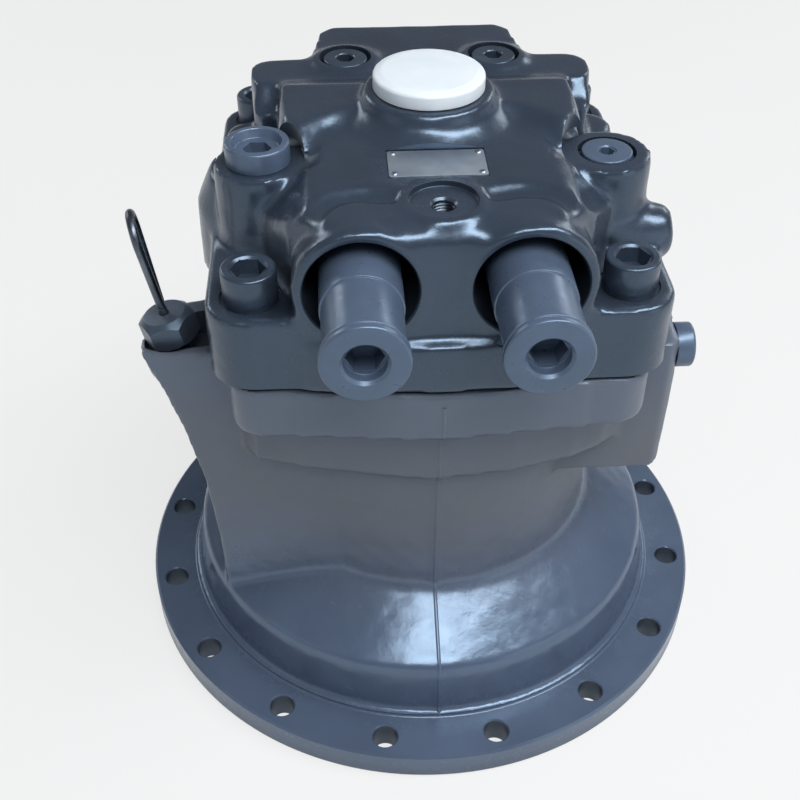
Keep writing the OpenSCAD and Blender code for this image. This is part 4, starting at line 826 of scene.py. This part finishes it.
def female_thread(name, place, minor_r, major_r, pitch, low, high):
    """A tapped wall whose rows climb by a quarter of the pitch, closed by a plain tube outside it."""
    steps = 48
    shape = bmesh.new()
    rows = []
    count = int((high - low) / pitch * 4)
    for i in range(count + 1):
        row = []
        for k in range(steps):
            phase = (i / 4 + k / steps) % 1.0
            r = minor_r + (major_r - minor_r) * abs(phase - 0.5) * 2
            row.append(shape.verts.new(place @ on_circle(r, k, steps, low + i * pitch / 4)))
        rows.append(row)
    for z in (low + count * pitch / 4, low):
        rows.append([shape.verts.new(place @ on_circle(major_r + 0.1, k, steps, z)) for k in range(steps)])
    skin_rows(shape, rows, round_all=True)
    bmesh.ops.recalc_face_normals(shape, faces=shape.faces)
    bmesh.ops.scale(shape, vec=(MM, MM, MM), verts=shape.verts)
    return as_object(name, shape)


finish_piece(female_thread("lifting_hole_thread", moved(0, LIFTING_Y), 5.1, 6.1, 1.75, 340.2, 363.8),
             thread_metal, "root", crease=20)


# Name plate and its rivets

plate_x, plate_y, plate_z = PLATE_CENTRE


def name_plate():
    outline = round_cornered(PLATE_HALF[0], PLATE_HALF[1], 1.5, (plate_x, plate_y))
    plate = solid("bare_name_plate", [lambda shape: prism(shape, outline, plate_z, plate_z + 1)])
    edge = plate.modifiers.new("edge", "BEVEL")
    edge.width = 0.25 * MM
    edge.segments = 2
    settle(plate)
    return plate


finish_piece(name_plate(), plate_metal, "root", ["name_plate"])
rivet_places = [moved(plate_x + x, plate_y + y, plate_z) for x in both(23.5) for y in both(11)]
finish_piece(solid("name_plate_rivet_heads", [turned(
    [(0, 0.4), (1.2, 0.4), (1.2, 0.95), (2, 0.95), (1.75, 1.45), (1.0, 1.8), (0, 1.87)],
    rivet_places, 32)]),
    rivet_metal, "root", ["name_plate_rivets"], crease=50)


# Dipstick: hexagon fitting and wire loop

def hexagon_fitting():
    here = [dipstick_place]
    fitting = solid("dipstick_fitting_hexagon", [hexagons(30, 0, 18, here)])
    chamfers = [(0, -1), (13, -1), (14, 0, 0.4), (18, 3.5, 1), (18, 13, 1), (12.5, 18, 1), (0, 18)]
    combine(fitting, solid("cut", [turned(chamfers, here)]), "INTERSECT")
    combine(fitting, solid("join", [turned([(0, -12), (8, -12), (8, 1), (0, 1)], here)]), "UNION")
    cut(fitting, turned([(0, -20), (2.55, -20), (2.55, 17.3), (3.6, 18.4), (3.6, 30), (0, 30)], here, 48))
    return fitting


def loop_path():
    """Up one leg, round the top and down the other, in the plane of the loop."""
    place = dipstick_place @ moved(z=LOOP_Z) @ Matrix.Rotation(math.radians(LOOP_TILT), 4, "Y") \
        @ Matrix.Rotation(math.radians(LOOP_TURN), 4, "Z")
    leg = [(-WIRE_R, WIRE_R)]
    leg += [(-WIRE_R - (LOOP_R - WIRE_R) * t, WIRE_R + (LEG_TOP - WIRE_R) * t)
            for t in (0.2, 0.4, 0.6, 0.8, 1.0)]
    bend = [(-LOOP_R * math.cos(math.radians(a)), LEG_TOP + LOOP_R * math.sin(math.radians(a)))
            for a in range(10, 180, 10)]
    points = leg + bend + [(-x, z) for x, z in leg][::-1]
    return [place @ Vector((x, 0, z)) * MM for x, z in points]


finish_piece(hexagon_fitting(), fitting_enamel, "root", ["dipstick_fitting"])
finish_piece(wire("dipstick_wire_loop", loop_path(), WIRE_R * MM), wire_metal, "dipstick", ["dipstick_loop"])


# Transport cap of the centre port

def transport_cap():
    here = [moved(z=PORT_Z)]
    head = [(0, 0.3), (32, 0.3, 0.6), (32, 8.6, 2.2), (27, 10.1, 3), (0, 11.08)]
    lip = [(20, -14), (22.7, -14, 0.8), (22.7, 1), (20, 1)]
    cap = solid("moulded_port_cap", [turned(head, here, 128)])
    combine(cap, solid("join", [turned(lip, here, 128)]), "UNION")
    return cap


finish_piece(transport_cap(), cap_plastic, "port_cap", ["port_cap"])


# Inner pieces keep their solids and take the metal they are made of

FINISHES = {
    "machined_steel": turned_steel, "ground_steel": ground_steel, "spring_steel": spring_steel,
    "block_iron": block_iron, "bearing_bronze": bronze, "friction_paper": friction_paper,
    "seal_rubber": nitrile_rubber, "painted_steel": screw_enamel, "plate_metal": plate_metal,
    "painted_iron": valve_casting, "casing_iron": casing_casting, "white_plastic": cap_plastic,
}
slots = {row["node"]: row["material_slot"] for row in frame["record"]["subparts"]}
for node_name, piece in frame["nodes"].items():
    piece.data.materials.clear()
    piece.data.materials.append(FINISHES[slots[node_name]])


# Pale floor

def white_to_the_eye(tree, surface):
    """Most of the floor is plain white to the camera and in what mirrors it, and the shadow stays."""
    rays = add(tree, "ShaderNodeLightPath").outputs
    seen = rays["Is Camera Ray"]
    for ray in ("Is Glossy Ray", "Is Transmission Ray"):
        seen = add(tree, "ShaderNodeMath", {0: seen, 1: rays[ray]}, operation="MAXIMUM").outputs[0]
    share = add(tree, "ShaderNodeMath", {0: seen, 1: WHITE_SHARE}, operation="MULTIPLY").outputs[0]
    white = add(tree, "ShaderNodeEmission", {"Color": linear("#ffffff"), "Strength": 1.0}).outputs[0]
    return add(tree, "ShaderNodeMixShader", {0: share, 1: surface, 2: white}).outputs[0]


def pale_floor():
    mesh = bpy.data.meshes.new("floor")
    corners = [(-FLOOR_REACH, -FLOOR_REACH, 0), (FLOOR_REACH, -FLOOR_REACH, 0),
               (FLOOR_REACH, FLOOR_REACH, 0), (-FLOOR_REACH, FLOOR_REACH, 0)]
    mesh.from_pydata(corners, [], [(0, 1, 2, 3)])
    floor = bpy.data.objects.new("floor", mesh)
    floor.location.z = cad_low.z - 0.5 * MM
    bpy.context.scene.collection.objects.link(floor)
    material, tree, shader, place = start_material("pale_floor")
    two_tone(tree, shader, patches(tree, place, 600, 0.3, 0.7, detail=2.0), "#c6c8ca", "#cbcdcf")
    shader.inputs["Roughness"].default_value = 0.9
    surface = white_to_the_eye(tree, shader.outputs["BSDF"])
    tree.links.new(surface, tree.nodes["Material Output"].inputs["Surface"])
    mesh.materials.append(material)


pale_floor()


# Lamps: one long softbox overhead, weak fills in front and behind

def lamp(name, place, aim, size, power):
    light = bpy.data.lights.new(name, "AREA")
    light.shape = "RECTANGLE"
    light.size, light.size_y = size
    light.energy = power
    holder = bpy.data.objects.new(name, light)
    holder.location = place
    holder.rotation_euler = (Vector(aim) - Vector(place)).to_track_quat("-Z", "Y").to_euler()
    bpy.context.scene.collection.objects.link(holder)


lamp("overhead", (0.45, -0.62, 1.5), (0.02, -0.1, 0.2), (1.8, 0.42), 30)
lamp("left_fill", (-1.6, -0.8, 0.8), (0, 0, 0.2), (1.0, 0.9), 1)
lamp("right_fill", (1.5, -1.3, 0.7), (0, 0, 0.2), (1.2, 0.9), 3)
lamp("rear_left", (-1.1, 1.0, 0.9), (-0.5, 0.9, 0), (0.7, 0.5), 4)
lamp("rear_right", (1.1, 1.1, 0.9), (0.5, 1.0, 0), (0.7, 0.5), 4)


# Soft room, pale along the horizon and dim overhead

def soft_room():
    world = bpy.data.worlds.new("soft_room")
    world.use_nodes = True
    bpy.context.scene.world = world
    sky = world.node_tree
    sky.nodes.clear()
    direction = add(sky, "ShaderNodeTexCoord").outputs["Generated"]
    upward = add(sky, "ShaderNodeSeparateXYZ", {"Vector": direction}).outputs["Z"]
    glow = add(sky, "ShaderNodeMapRange", {0: upward, 1: 0.02, 2: 0.12, 3: 0.85, 4: 0.24}).outputs[0]
    lit = add(sky, "ShaderNodeBackground", {"Color": linear("#e6eaf1"), "Strength": glow})
    add(sky, "ShaderNodeOutputWorld", {"Surface": lit.outputs[0]})


soft_room()


# Camera at the photograph's viewing angle

def photo_camera():
    camera = bpy.data.cameras.new("photo_view")
    camera.sensor_width = SENSOR_WIDTH
    camera.lens = FOCAL_PIXELS / PICTURE_PIXELS * SENSOR_WIDTH
    camera.clip_start = 0.01
    holder = bpy.data.objects.new("photo_view", camera)
    aimed = Matrix((CAMERA_RIGHT, CAMERA_UP, -CAMERA_AHEAD)).transposed().to_4x4()
    holder.matrix_world = Matrix.Translation(CAMERA_PLACE) @ aimed
    bpy.context.scene.collection.objects.link(holder)
    bpy.context.scene.camera = holder


photo_camera()
bpy.context.scene.view_settings.view_transform = "Standard"
